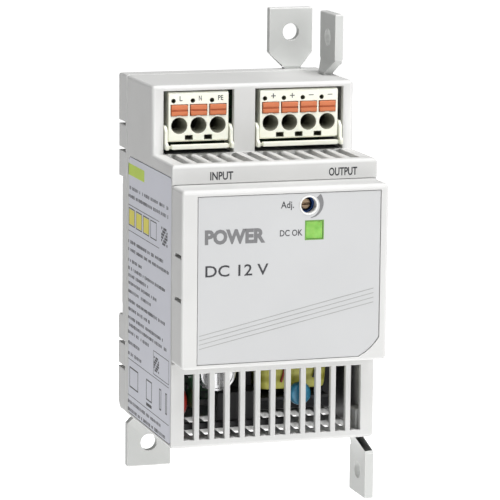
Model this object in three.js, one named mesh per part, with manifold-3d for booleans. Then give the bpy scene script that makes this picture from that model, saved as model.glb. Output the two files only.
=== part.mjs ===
// Compact power supply that snaps on a 35 mm mounting rail.
// Units: millimetres. +Z up, -Y towards the person who wires it, +X to their right.
// The origin is the centre of the rail seat: the floor of the recess in the back.
import * as THREE from "three";
import { mergeVertices } from "three/addons/utils/BufferGeometryUtils.js";
import Module from "manifold-3d";

const wasm = await Module();
wasm.setup();

// ---- driving dimensions -------------------------------------------------------------------
const WIDTH = 54;
const HALF = WIDTH / 2;
const TOP = 45;
const BOTTOM = -45;
const BACK = 4;
const NOSE_Y = -55;
const NOSE_TOP = 22.3;
const NOSE_BOTTOM = -22.8;
const BODY_Y = -46.2;
const TERMINAL_Y = -27.6;
const LEDGE_Z = 27.4;
const SEAM_Y = -3.8;
const WALL = 1.6;
const GAP = 0.3;

// Rail recess: a 35 mm rail, and the room that the foot needs below it.
const RAIL_HALF = 17.5;
const RECESS_TOP = RAIL_HALF + 0.2;
const RECESS_BOTTOM = -RAIL_HALF - 1.5;
const RAIL_THICKNESS = 1;
// Raised pad that the rail's face rests on, clear of the hooks above and the foot below.
const SEAT_HALF = 16;
const SEAT_STEP = 0.2;
// Rebate in the housing's front that the nose cover sits in.
const COVER_SEAT = 0.45;
const COVER_MARGIN = 0.2;
const LATCH_Z = 5.5;
const LATCH_SLIT = 0.9;

// Vents: twelve slots in the grille, the ledge and the floor.
const VENTS = 12;
const VENT_PITCH = 4.04;
const VENT_WIDTH = 2.65;
const LEDGE_VENT_WIDTH = 2.4;
const LEDGE_RIM = 3;
const GRILLE_LOW = BOTTOM + 2.2;
const GRILLE_HIGH = -25.9;
const FLOOR_ROWS = [[-38.4, -31], [-25, -18]];

// Pluggable terminals.
const PITCH = 5.1;
const INPUT_POLES = 3;
const OUTPUT_POLES = 4;
const INPUT_X = -14.6;
const OUTPUT_X = 12.3;
const PLUG_Y = TERMINAL_Y + 0.3;
const PLUG_DEPTH = 13.5;
const PLUG_LOW = 30.45;
const PLUG_TOP = 43.1;
const PLUG_SIDE = 0.3;
const OPENING_SIDE = 1.35;
const OPENING_TOP = 43.5;
const WIRE_Z = 34.55;
const BUTTON_Z = 38.5;
const PROBE_Z = 40.9;
const PROBE_RADIUS = 0.6;
const CONTACT_Z = 33.4;

// Mounting lugs.
const LUG_WIDTH = 12;
const LUG_NECK = 4.4;
const LUG_THICKNESS = 2.3;
const LUG_HOLE = 9.6;
const LUG_END = 16.1;
const LUG_SHOULDER = 3.5;
const LUG_ROOT = 7;
const LUG_JOG = 1.5;

// Circuit boards.
const BOARD = 1.6;
const MAIN_BOARD_Y = -6.2;
const RISER_X = -21;
const FRONT_BOARD_Y = -47.3;

// Adjuster and status light on the nose.
const ADJUST_X = 5.9;
const ADJUST_Z = 17.5;
const LIGHT_X = 7.45;
const LIGHT_Z = 11.2;
const LIGHT_SIZE = 4.8;

// ---- finishes -----------------------------------------------------------------------------
function finish(color, roughness, metalness = 0) {
  return () => new THREE.MeshStandardMaterial({ color, roughness, metalness });
}

const greyPlastic = finish(0xd6d6d2, 0.55);
const lugPlastic = finish(0xd2d3cf, 0.5);
const ivoryPlastic = finish(0xe6e5d8, 0.45);
const orangePlastic = finish(0xe8734a, 0.45);
const blackPlastic = finish(0x1d1d1c, 0.5);
const overlayFoil = finish(0xe2e2e0, 0.5);
const labelFoil = finish(0xe4e4ea, 0.45);
const greenLens = finish(0x59c24a, 0.2);
const circuitBoard = finish(0x1f5a2e, 0.45);
const springSteel = finish(0xb8babb, 0.3, 1);
const zincSteel = finish(0xc0c2c4, 0.35, 1);
const ferrite = finish(0x26262a, 0.6);
const windingTape = finish(0xc9c23a, 0.5);
const capacitorSleeve = finish(0x14161c, 0.35);
const blueCoating = finish(0x2b7fa8, 0.4);
const redCoating = finish(0xb5382c, 0.45);
const yellowBox = finish(0xd2b53a, 0.5);
const copperWire = finish(0xb4622f, 0.35, 1);
const glassTube = finish(0xd8e0e0, 0.1);
const bareAluminium = finish(0xb9bcbf, 0.4, 1);
const bluePlastic = finish(0x2a5db0, 0.5);

// ---- solids -------------------------------------------------------------------------------
function solid(geometry) {
  const bare = geometry.clone();
  bare.deleteAttribute("normal");
  bare.deleteAttribute("uv");
  const merged = mergeVertices(bare, 1e-4);
  return new wasm.Manifold(new wasm.Mesh({
    numProp: 3,
    vertProperties: new Float32Array(merged.attributes.position.array),
    triVerts: new Uint32Array(merged.index.array),
  }));
}

function surface(body) {
  const mesh = body.getMesh();
  const geometry = new THREE.BufferGeometry();
  geometry.setAttribute("position", new THREE.BufferAttribute(new Float32Array(mesh.vertProperties), 3));
  geometry.setIndex(new THREE.BufferAttribute(new Uint32Array(mesh.triVerts), 1));
  geometry.computeVertexNormals();
  return geometry;
}

function join(first, ...others) {
  return others.reduce((whole, part) => whole.add(part), first);
}

function cut(first, ...others) {
  return others.reduce((whole, part) => whole.subtract(part), first);
}

// An outline's first and second coordinates, and the direction it is pushed along.
const DIRECTIONS = {
  x: [[0, 1, 0], [0, 0, 1], [1, 0, 0]],
  y: [[1, 0, 0], [0, 0, 1], [0, -1, 0]],
  z: [[1, 0, 0], [0, 1, 0], [0, 0, 1]],
};

// Pushes an outline along an axis from low to high: (y, z) along x, (x, z) along y, (x, y) along z.
function prism(axis, outline, low, high) {
  const shape = new THREE.Shape(outline.map(([a, b]) => new THREE.Vector2(a, b)));
  const geometry = new THREE.ExtrudeGeometry(shape, { depth: high - low, bevelEnabled: false });
  const [first, second, along] = DIRECTIONS[axis].map((v) => new THREE.Vector3(...v));
  geometry.applyMatrix4(new THREE.Matrix4().makeBasis(first, second, along));
  const start = axis === "y" ? high : low;
  const shift = new THREE.Vector3();
  shift[axis] = start;
  geometry.translate(shift.x, shift.y, shift.z);
  return solid(geometry);
}

function block(x0, x1, y0, y1, z0, z1) {
  const geometry = new THREE.BoxGeometry(x1 - x0, y1 - y0, z1 - z0);
  geometry.translate((x0 + x1) / 2, (y0 + y1) / 2, (z0 + z1) / 2);
  return solid(geometry);
}

function circle(a, b, radius, sides = 24) {
  return Array.from({ length: sides }, (_, i) => {
    const turn = (2 * Math.PI * (i + 0.5)) / sides;
    return [a + radius * Math.cos(turn), b + radius * Math.sin(turn)];
  });
}

function rod(axis, a, b, radius, low, high, sides = 24) {
  return prism(axis, circle(a, b, radius, sides), low, high);
}

function rectangle(a0, a1, b0, b1) {
  return [[a0, b0], [a1, b0], [a1, b1], [a0, b1]];
}

// A rectangle with its corners cut off at 45 degrees.
function chamfered(a0, a1, b0, b1, c) {
  return [
    [a0 + c, b0], [a1 - c, b0], [a1, b0 + c], [a1, b1 - c],
    [a1 - c, b1], [a0 + c, b1], [a0, b1 - c], [a0, b0 + c],
  ];
}

// A body of revolution about z: the profile is (radius, height) from axis to axis.
function turned(profile, sides = 24) {
  const geometry = new THREE.LatheGeometry(profile.map(([r, h]) => new THREE.Vector2(r, h)), sides);
  geometry.rotateX(Math.PI / 2);
  return solid(geometry);
}

function row(count, pitch) {
  return Array.from({ length: count }, (_, i) => (i - (count - 1) / 2) * pitch);
}

const supply = new THREE.Group();

function place(parent, name, body, material, position = [0, 0, 0], rotation = [0, 0, 0]) {
  const mesh = new THREE.Mesh(surface(body), material());
  mesh.name = name;
  mesh.position.set(...position);
  mesh.rotation.set(...rotation);
  parent.add(mesh);
  return mesh;
}

// ---- openings shared by the housing halves -------------------------------------------------
const plugs = [
  { name: "input", poles: INPUT_POLES, x: INPUT_X },
  { name: "output", poles: OUTPUT_POLES, x: OUTPUT_X },
].map((plug) => ({ ...plug, half: (plug.poles * PITCH) / 2 + PLUG_SIDE }));

// Root of a lug that goes down into a wall, with clearance all round.
function lugSocket(facesBack, along, wallLow, wallHigh) {
  const side = LUG_NECK / 2 + GAP;
  const near = BACK - LUG_JOG - LUG_THICKNESS - GAP;
  const far = BACK - LUG_JOG + GAP;
  if (facesBack) {
    return block(along - side, along + side, near, far, wallLow, wallHigh);
  }
  const shift = HALF - BACK;
  return block(near + shift, far + shift, along - side, along + side, wallLow, wallHigh);
}

const lugs = [
  { name: "lug_back_top", facesBack: true, along: 19.6, up: true },
  { name: "lug_back_bottom", facesBack: true, along: -19, up: false },
  { name: "lug_side_top", facesBack: false, along: -13.1, up: true },
  { name: "lug_side_bottom", facesBack: false, along: -41.3, up: false },
];

function socketsThrough(halfIsBack) {
  return lugs.filter((lug) => lug.facesBack === halfIsBack).map((lug) => {
    const low = lug.up ? TOP - LUG_ROOT - 1 : BOTTOM - 1;
    const high = lug.up ? TOP + 1 : BOTTOM + LUG_ROOT + 1;
    return lugSocket(lug.facesBack, lug.along, low, high);
  });
}

// ---- back shell ---------------------------------------------------------------------------
const FOOT_HALF = 9;
const FOOT_NECK_HALF = 7.7;
const CHANNEL_FLOOR = 0.2;
const FOOT_BACK = 3.8;
const SPRING_SEAT_Z = -36;
const SPRING_LENGTH = 11;

function backShell() {
  const seam = SEAM_Y + GAP / 2;
  const cornerTurns = [0, 15, 30, 45, 60, 75, 90].map((deg) => (deg * Math.PI) / 180);
  const topCorner = cornerTurns.map((t) => [BACK - 2 + 2 * Math.cos(t), TOP - 2 + 2 * Math.sin(t)]);
  const outside = [
    [seam, BOTTOM], [BACK - 2.5, BOTTOM], [BACK, BOTTOM + 2.5],
    [BACK, RECESS_BOTTOM - 1.2], [BACK - 1.2, RECESS_BOTTOM], [-SEAT_STEP, RECESS_BOTTOM],
    [-SEAT_STEP, -SEAT_HALF], [0, -SEAT_HALF], [0, SEAT_HALF], [-SEAT_STEP, SEAT_HALF],
    [-SEAT_STEP, RECESS_TOP], [BACK, RECESS_TOP], ...topCorner, [seam, TOP],
  ];
  const inside = [
    [seam - 1, BOTTOM + WALL], [BACK - WALL - 2, BOTTOM + WALL], [BACK - WALL, BOTTOM + WALL + 2],
    [BACK - WALL, RECESS_BOTTOM - WALL - 1], [-WALL, RECESS_BOTTOM - WALL - 1],
    [-WALL, RECESS_TOP + WALL], [BACK - WALL, RECESS_TOP + WALL],
    [BACK - WALL, TOP - WALL], [seam - 1, TOP - WALL],
  ];
  let shell = cut(
    prism("x", outside, -HALF, HALF),
    prism("x", inside, -HALF + WALL, HALF - WALL),
  );
  // Two fixed hooks that hold the rail's upper edge.
  for (const x of [-13, 13]) {
    const hook = [
      [RAIL_THICKNESS + 0.4, RECESS_TOP + 0.5], [RAIL_THICKNESS + 0.4, RECESS_TOP - 1.5],
      [BACK, RECESS_TOP - 0.6], [BACK, RECESS_TOP + 0.5],
    ];
    shell = join(shell, prism("x", hook, x - 7, x + 7));
  }
  // Channel that the foot slides in, with its floor and lips.
  const channelTop = RECESS_BOTTOM - WALL - 0.5;
  const channelHalf = FOOT_HALF + GAP + WALL;
  shell = join(shell, block(-channelHalf, channelHalf, CHANNEL_FLOOR - WALL, BACK - WALL / 2,
    BOTTOM + WALL / 2, channelTop));
  shell = cut(
    shell,
    block(-FOOT_HALF - GAP, FOOT_HALF + GAP, CHANNEL_FLOOR, 2.8, BOTTOM - 1, RECESS_BOTTOM + 1),
    block(-FOOT_NECK_HALF - GAP, FOOT_NECK_HALF + GAP, 2, BACK + 1, BOTTOM - 1, RECESS_BOTTOM + 1),
  );
  // Post that the foot's spring pushes on.
  shell = join(shell, block(-1.9, 1.9, CHANNEL_FLOOR - 0.5, FOOT_BACK - 0.5,
    SPRING_SEAT_Z - 1.6, SPRING_SEAT_Z));
  // Cooling slots in both side walls, open towards the back.
  for (const z of [-33, -26.3, 25, 32]) {
    const deep = HALF - WALL - 0.3;
    shell = cut(shell, block(-HALF - 1, -deep, -2.6, BACK + 1, z - 0.45, z + 0.45),
      block(deep, HALF + 1, -2.6, BACK + 1, z - 0.45, z + 0.45));
  }
  // Pillars for the main board's screws.
  for (const [x, z] of boardHoles) {
    const floor = Math.abs(z) > 20 ? BACK - WALL / 2 : -WALL / 2;
    shell = join(shell, rod("y", x, z, 2.6, MAIN_BOARD_Y + GAP, floor, 16));
    shell = cut(shell, rod("y", x, z, 1.1, MAIN_BOARD_Y - 1, MAIN_BOARD_Y + 5.5, 12));
  }
  return cut(shell, ...socketsThrough(true));
}

const boardHoles = [[-13.8, -38], [21, -38], [-21, 22], [21, 22]];

// ---- front housing ------------------------------------------------------------------------
function frontHousing() {
  const seam = SEAM_Y - GAP / 2;
  const outside = [
    [seam, BOTTOM], [BODY_Y, BOTTOM], [BODY_Y, LEDGE_Z],
    [TERMINAL_Y, LEDGE_Z], [TERMINAL_Y, TOP], [seam, TOP],
  ];
  const inside = [
    [seam + 1, BOTTOM + WALL], [BODY_Y + WALL, BOTTOM + WALL], [BODY_Y + WALL, LEDGE_Z - WALL],
    [TERMINAL_Y + WALL, LEDGE_Z - WALL], [TERMINAL_Y + WALL, TOP - WALL], [seam + 1, TOP - WALL],
  ];
  let shell = cut(
    prism("x", outside, -HALF, HALF),
    prism("x", inside, -HALF + WALL, HALF - WALL),
  );
  // Tray that the plugs slide on.
  shell = join(shell, block(-HALF + WALL / 2, HALF - WALL / 2, TERMINAL_Y, -12, LEDGE_Z - WALL, LEDGE_Z));
  // Seat of the nose cover, and the window behind it.
  shell = cut(shell, block(-HALF - 1, HALF + 1, BODY_Y - 1, BODY_Y + COVER_SEAT,
    NOSE_BOTTOM - COVER_MARGIN, NOSE_TOP + COVER_MARGIN));
  shell = cut(shell, block(-23, 23, BODY_Y - 1, BODY_Y + 3, NOSE_BOTTOM + 3, NOSE_TOP - 3));
  // Terminal openings.
  for (const plug of plugs) {
    const side = plug.half + OPENING_SIDE;
    shell = cut(shell, block(plug.x - side, plug.x + side, TERMINAL_Y - 1, -8.5, LEDGE_Z, OPENING_TOP));
  }
  for (const x of row(VENTS, VENT_PITCH)) {
    const side = VENT_WIDTH / 2;
    const grilleSlot = block(x - side, x + side, BODY_Y - 1, BODY_Y + WALL + 1, GRILLE_LOW, GRILLE_HIGH);
    const floorSlots = FLOOR_ROWS.map(([front, back]) => block(x - side, x + side, front, back,
      BOTTOM - 1, BOTTOM + WALL + 1));
    const ledgeSide = LEDGE_VENT_WIDTH / 2;
    const ledgeSlot = block(x - ledgeSide, x + ledgeSide, BODY_Y + LEDGE_RIM, TERMINAL_Y - 0.4,
      LEDGE_Z - WALL - 1, LEDGE_Z + 1);
    shell = cut(shell, grilleSlot, ledgeSlot, ...floorSlots);
  }
  // Shallow seat for the side label.
  shell = cut(shell, prism("x", labelOutline(0.25), -HALF - 1, -HALF + 0.4));
  // Lip that centres the back shell.
  const ring = (inset, y0, y1) => block(-HALF + inset, HALF - inset, y0, y1, BOTTOM + inset, TOP - inset);
  const lip = cut(
    join(ring(WALL / 2, seam - 2, seam - 0.3), ring(WALL + GAP, seam - 2, seam + 1.2)),
    ring(WALL + GAP + 1.1, seam - 3, seam + 3),
  );
  return cut(join(shell, lip), ...socketsThrough(false));
}

// Outline of the side label in (y, z), grown by the given margin.
function labelOutline(grow) {
  return chamfered(-45.2 - grow, -6.3 + grow, -43.8 - grow, 24 + grow, 0.8);
}

// ---- front cover --------------------------------------------------------------------------
function frontCover() {
  const back = BODY_Y + COVER_SEAT - GAP;
  let cover = cut(
    block(-HALF, HALF, NOSE_Y, back, NOSE_BOTTOM, NOSE_TOP),
    block(-HALF + WALL, HALF - WALL, NOSE_Y + WALL + 0.8, back + 1, NOSE_BOTTOM + WALL, NOSE_TOP - WALL),
  );
  // Slits that free a latch tab in each side wall.
  for (const z of [-LATCH_Z, LATCH_Z]) {
    cover = cut(cover, block(-HALF - 1, HALF + 1, NOSE_Y + 0.9, NOSE_Y + 6.4,
      z - LATCH_SLIT / 2, z + LATCH_SLIT / 2));
  }
  // Seat of the printed foil, hole of the adjuster and window of the status light.
  const lightSide = LIGHT_SIZE / 2;
  return cut(
    cover,
    prism("y", overlayOutline(0.2), NOSE_Y - 1, NOSE_Y + 0.7),
    rod("y", ADJUST_X, ADJUST_Z, 2.1, NOSE_Y - 1, NOSE_Y + 4),
    block(LIGHT_X - lightSide, LIGHT_X + lightSide, NOSE_Y - 1, NOSE_Y + 4,
      LIGHT_Z - lightSide, LIGHT_Z + lightSide),
  );
}

// Outline of the printed foil in (x, z): one lower corner is cut off along a shallow arc.
function overlayOutline(grow) {
  const left = -22.8 - grow;
  const right = 24.9 + grow;
  const top = 20.5 + grow;
  const bottom = -21.6 - grow;
  const run = 5.4;
  const rise = 4.8;
  const bulge = 0.7;
  const corner = [0, 0.2, 0.4, 0.6, 0.8, 1].map((t) => {
    const out = (bulge * Math.sin(Math.PI * t)) / (run + rise);
    return [right - run * (1 - t) + out * rise, bottom + rise * t - out * run];
  });
  return [[left, bottom], ...corner, [right, top], [left, top]];
}

function frontOverlay() {
  const hole = LIGHT_SIZE / 2 + 0.1;
  return cut(
    prism("y", overlayOutline(0), NOSE_Y + 0.2, NOSE_Y + 0.45),
    rod("y", ADJUST_X, ADJUST_Z, 2.3, NOSE_Y - 1, NOSE_Y + 1),
    block(LIGHT_X - hole, LIGHT_X + hole, NOSE_Y - 1, NOSE_Y + 1, LIGHT_Z - hole, LIGHT_Z + hole),
  );
}

// ---- foot ---------------------------------------------------------------------------------
function railFoot() {
  const tip = [
    [RAIL_THICKNESS + 0.5, RECESS_BOTTOM - 3], [RAIL_THICKNESS + 0.5, -RAIL_HALF + 1.3],
    [RAIL_THICKNESS + 1.1, -RAIL_HALF + 1.3], [FOOT_BACK, RECESS_BOTTOM + 0.2],
    [FOOT_BACK, RECESS_BOTTOM - 3],
  ];
  const plate = join(
    block(-FOOT_HALF, FOOT_HALF, CHANNEL_FLOOR + GAP, 2.5, BOTTOM - 0.5, RECESS_BOTTOM - 2),
    block(-FOOT_NECK_HALF, FOOT_NECK_HALF, 1, FOOT_BACK, BOTTOM - 0.5, RECESS_BOTTOM - 2),
    prism("x", tip, -FOOT_NECK_HALF, FOOT_NECK_HALF),
    block(-5.5, 5.5, 0.9, 3.4, BOTTOM - 5.2, BOTTOM),
  );
  return cut(
    plate,
    block(-2.2, 2.2, -1, BACK + 1, SPRING_SEAT_Z - 2, SPRING_SEAT_Z + SPRING_LENGTH + GAP),
    block(-2.6, 2.6, -1, BACK + 1, BOTTOM - 3.8, BOTTOM - 1.7),
  );
}

class CoilCurve extends THREE.Curve {
  constructor(radius, turns, low, high) {
    super();
    Object.assign(this, { radius, turns, low, high });
  }

  getPoint(t, target = new THREE.Vector3()) {
    const turn = 2 * Math.PI * this.turns * t;
    return target.set(this.radius * Math.cos(turn), this.radius * Math.sin(turn),
      this.low + (this.high - this.low) * t);
  }
}

function footSpring() {
  const wire = 0.28;
  const turns = 6;
  const path = new CoilCurve(1.05, turns, wire + 0.1, SPRING_LENGTH - wire - 0.1);
  const shape = new THREE.Shape(circle(0, 0, wire, 6).map(([a, b]) => new THREE.Vector2(a, b)));
  const settings = { steps: turns * 10, extrudePath: path, bevelEnabled: false };
  return solid(new THREE.ExtrudeGeometry(shape, settings));
}

// ---- lugs ---------------------------------------------------------------------------------
// A lug stands on its wall at z = 0 with its screw face at y = 0 and its root below the wall.
function lug() {
  const half = LUG_WIDTH / 2;
  const neck = LUG_NECK / 2;
  const foot = 0.3;
  const plate = prism("y", [
    [-neck, foot], [neck, foot], [half, LUG_SHOULDER + 0.6], [half, LUG_END], [-half, LUG_END],
    [-half, LUG_SHOULDER + 0.6],
  ], -LUG_THICKNESS, 0);
  const wedge = prism("y", [
    [-neck, foot], [neck, foot], [half - 0.4, LUG_SHOULDER + 0.2], [-half + 0.4, LUG_SHOULDER + 0.2],
  ], -LUG_JOG - LUG_THICKNESS, 0);
  const slope = prism("x", [
    [-LUG_THICKNESS, LUG_SHOULDER], [-LUG_JOG - LUG_THICKNESS, foot + 0.3],
    [-LUG_JOG - LUG_THICKNESS - 1, foot + 0.3], [-LUG_JOG - LUG_THICKNESS - 1, LUG_SHOULDER + 1],
    [-LUG_THICKNESS, LUG_SHOULDER + 1],
  ], -half, half);
  const backSlope = prism("x", [
    [1, foot - 1], [1, LUG_SHOULDER], [0, LUG_SHOULDER], [-LUG_JOG, foot + 0.2], [-LUG_JOG, foot - 1],
  ], -half, half);
  const root = block(-neck, neck, -LUG_JOG - LUG_THICKNESS, -LUG_JOG, -LUG_ROOT, foot + 0.4);
  return cut(
    join(cut(join(plate, wedge), slope, backSlope), root),
    rod("y", 0, LUG_HOLE, 2.25, -LUG_THICKNESS - 1, 1, 24),
  );
}

function placeLugs() {
  const shape = lug();
  for (const item of lugs) {
    const spin = item.facesBack ? 0 : -Math.PI / 2;
    const edge = item.up ? TOP : BOTTOM;
    const flip = item.up ? 0 : Math.PI;
    const holder = new THREE.Group();
    holder.position.set(item.facesBack ? item.along : HALF, item.facesBack ? BACK : item.along, edge);
    holder.rotation.set(0, 0, spin);
    supply.add(holder);
    place(holder, item.name, shape, lugPlastic, [0, 0, 0], [0, flip, 0]);
  }
}

// ---- plugs --------------------------------------------------------------------------------
// Plug parts are drawn around their own middle in x, with y = 0 at the wiring face.
const BUTTON_WIDTH = 4.3;
const BUTTON_LOW = BUTTON_Z - 1.35;
const BUTTON_HIGH = BUTTON_Z + 1.35;
const BUTTON_PROUD = 0.4;
const BUTTON_LENGTH = 5.4;
const COLLAR = 2.6;
const FUNNEL = 2.15;
const CHAMBER_FRONT = 6.9;
const CHAMBER_BACK = 11.9;
const LEVER_Y = 2.3;
const LEVER_Z = 31.9;
const LEVER_ARM = 0.8;

function plugBody(poles, half) {
  let body = prism("x", [
    [0.4, PLUG_LOW], [0, PLUG_LOW + 0.4], [0, PLUG_TOP - 0.4], [0.4, PLUG_TOP],
    [PLUG_DEPTH, PLUG_TOP], [PLUG_DEPTH, PLUG_LOW],
  ], -half, half);
  for (const x of row(poles, PITCH)) {
    const side = BUTTON_WIDTH / 2 + 0.15;
    const pocket = cut(
      block(x - side, x + side, -1, CHAMBER_FRONT + 1, BUTTON_LOW - 0.15, BUTTON_HIGH + 0.15),
      rod("y", x, WIRE_Z, COLLAR, -2, CHAMBER_FRONT, 20),
    );
    const throat = turned([[0, -1], [FUNNEL + 0.2, -1], [FUNNEL, 0], [1.6, 3.4], [1.6, 8], [0, 8]], 20);
    body = cut(
      body,
      pocket,
      throat.rotate([-90, 0, 0]).translate([x, 0, WIRE_Z]),
      rod("y", x - 1.55, PROBE_Z, PROBE_RADIUS, -1, 4.5, 12),
      block(x - 2.05, x + 2.05, CHAMBER_FRONT, CHAMBER_BACK, CONTACT_Z - 1.2, BUTTON_HIGH + 0.15),
      block(x - 0.95, x + 0.95, CHAMBER_BACK - 1, PLUG_DEPTH + 1, CONTACT_Z - 0.95, CONTACT_Z + 0.95),
    );
  }
  for (const x of row(poles - 1, PITCH)) {
    body = cut(body, block(x - 1.05, x + 1.05, -1, 4.5, PLUG_LOW + 0.45, PLUG_LOW + 1.65));
  }
  for (const side of [-1, 1]) {
    const inner = side * (half - 0.9);
    const outer = side * (half + 1);
    body = cut(body, rod("x", LEVER_Y, LEVER_Z, 1, Math.min(inner, outer), Math.max(inner, outer), 16));
  }
  return body;
}

function plugButton() {
  const side = BUTTON_WIDTH / 2;
  const bar = cut(
    block(-side, side, -BUTTON_PROUD, BUTTON_LENGTH - BUTTON_PROUD, BUTTON_LOW, BUTTON_HIGH),
    rod("y", 0, WIRE_Z, COLLAR + 0.15, -2, BUTTON_LENGTH + 1, 20),
  );
  return cut(bar, block(-side - 1, side + 1, -BUTTON_PROUD - 1, -BUTTON_PROUD + 0.5,
    BUTTON_Z - 0.25, BUTTON_Z + 0.2));
}

// A folded steel strip: its loop presses the wire against the bar below.
function clampSpring() {
  const strip = 0.4;
  const front = CHAMBER_FRONT + 0.45;
  const back = CHAMBER_BACK - 0.45;
  const high = BUTTON_HIGH - 0.4;
  const low = CONTACT_Z + 1.5;
  const loop = cut(
    prism("x", chamfered(front, back, low, high, 0.9), -1.65, 1.65),
    prism("x", chamfered(front + strip, back - strip, low + strip, high - strip, 0.75), -3, 3),
  );
  return cut(loop, block(-3, 3, front - 1, front + strip + 0.2, low + 1.2, low + 2.6));
}

// Ejector lever: a finger bar in front, a strip behind it that ties the two arms, and their pivots.
const BAR_LOW = 28.7;
const BAR_HIGH = 29.85;

function plugLever(half) {
  const inner = half + 0.3;
  const outer = inner + LEVER_ARM;
  const arm = [
    [-1.7, BAR_LOW - 0.1], [-1.7, BAR_HIGH], [-0.6, 30.5], [-0.6, 33.4], [0.6, 34.6],
    [3.6, 34.6], [4.5, 33.2], [4.5, BAR_HIGH], [3.2, BAR_LOW - 0.1],
  ];
  let lever = join(
    prism("x", rectangle(-1.7, -0.4, BAR_LOW, BAR_HIGH), -half + 0.45, half - 0.45),
    prism("x", rectangle(-0.5, 0.5, BAR_LOW, BAR_LOW + 0.75), -inner - 0.1, inner + 0.1),
  );
  for (const side of [-1, 1]) {
    const low = Math.min(side * inner, side * outer);
    const high = Math.max(side * inner, side * outer);
    const pinLow = Math.min(side * (half - 0.55), side * (inner + 0.1));
    const pinHigh = Math.max(side * (half - 0.55), side * (inner + 0.1));
    const pivot = rod("x", LEVER_Y, LEVER_Z, 0.75, pinLow, pinHigh, 12);
    lever = join(lever, prism("x", arm, low, high), pivot);
  }
  return lever;
}

// Pin header: drawn around the plug's middle, with y measured from the plug's wiring face.
function pinHeader(poles, half) {
  const boardFace = MAIN_BOARD_Y - BOARD - PLUG_Y;
  let header = block(-half, half, PLUG_DEPTH + 0.6, boardFace - GAP, PLUG_LOW + 0.2, PLUG_TOP - 0.2);
  for (const x of row(poles, PITCH)) {
    header = join(
      header,
      block(x - 0.5, x + 0.5, 9.2, PLUG_DEPTH + 1, CONTACT_Z - 0.5, CONTACT_Z + 0.5),
    );
  }
  return header;
}

function placePlugs() {
  const button = plugButton();
  const clamp = clampSpring();
  for (const plug of plugs) {
    const group = new THREE.Group();
    group.position.set(plug.x, PLUG_Y, 0);
    supply.add(group);
    place(group, `${plug.name}_plug_body`, plugBody(plug.poles, plug.half), ivoryPlastic);
    place(group, `${plug.name}_lever`, plugLever(plug.half), ivoryPlastic);
    place(group, `${plug.name}_header`, pinHeader(plug.poles, plug.half), blackPlastic);
    row(plug.poles, PITCH).forEach((x, i) => {
      place(group, `${plug.name}_button_${i + 1}`, button, orangePlastic, [x, 0, 0]);
      place(group, `${plug.name}_clamp_${i + 1}`, clamp, springSteel, [x, 0, 0]);
    });
  }
}

// ---- circuit boards -----------------------------------------------------------------------
const BOARD_FACE = MAIN_BOARD_Y - BOARD;

function mainBoard() {
  const board = block(-24.5, 24.5, MAIN_BOARD_Y - BOARD, MAIN_BOARD_Y, -41.5, 42.5);
  const holes = boardHoles.map(([x, z]) => rod("y", x, z, 1.6, MAIN_BOARD_Y - 3, MAIN_BOARD_Y + 1, 12));
  return cut(board, ...holes);
}

function boardScrew() {
  return cut(
    turned([[0, -3.6], [1, -3.6], [1, BOARD + GAP], [2.2, BOARD + GAP], [2.2, BOARD + 1.3],
      [1.5, BOARD + 2.1], [0, BOARD + 2.1]], 12),
    block(-0.3, 0.3, -1.4, 1.4, BOARD + 1.2, BOARD + 3),
    block(-1.4, 1.4, -0.3, 0.3, BOARD + 1.2, BOARD + 3),
  );
}

// A wound or sleeved can with a rolled edge, standing on z = 0.
function can(radius, height) {
  const roll = 0.5;
  return turned([
    [0, 0.4], [radius - 1, 0.4], [radius - 1, 0], [radius - roll, 0], [radius, roll],
    [radius, 1.6], [radius - roll, 2], [radius - roll, 2.4], [radius, 2.8],
    [radius, height - roll], [radius - roll, height], [0, height],
  ], 24);
}

const TOWARDS_FRONT = [Math.PI / 2, 0, 0];

function placeBoards() {
  place(supply, "main_board", mainBoard(), circuitBoard);
  boardHoles.forEach(([x, z], i) => {
    place(supply, `board_screw_${i + 1}`, boardScrew(), zincSteel, [x, MAIN_BOARD_Y, z], TOWARDS_FRONT);
  });
  place(supply, "riser_board", block(RISER_X, RISER_X + BOARD, BODY_Y + WALL + GAP, BOARD_FACE - GAP,
    -35, 17), circuitBoard);
  const frontBoard = block(RISER_X, 20, FRONT_BOARD_Y, FRONT_BOARD_Y + BOARD, -15, 18.6);
  place(supply, "front_board", frontBoard, circuitBoard);
}

// ---- transformer --------------------------------------------------------------------------
const CORE_X = 7.5;
const CORE_Z = -26.2;
const CORE_HALF = 12.75;
const CORE_HEIGHT = 25.5;
const CORE_FRONT = -34.6;
const CORE_BACK = -24.6;
const CORE_YOKE = 3.6;

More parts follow.
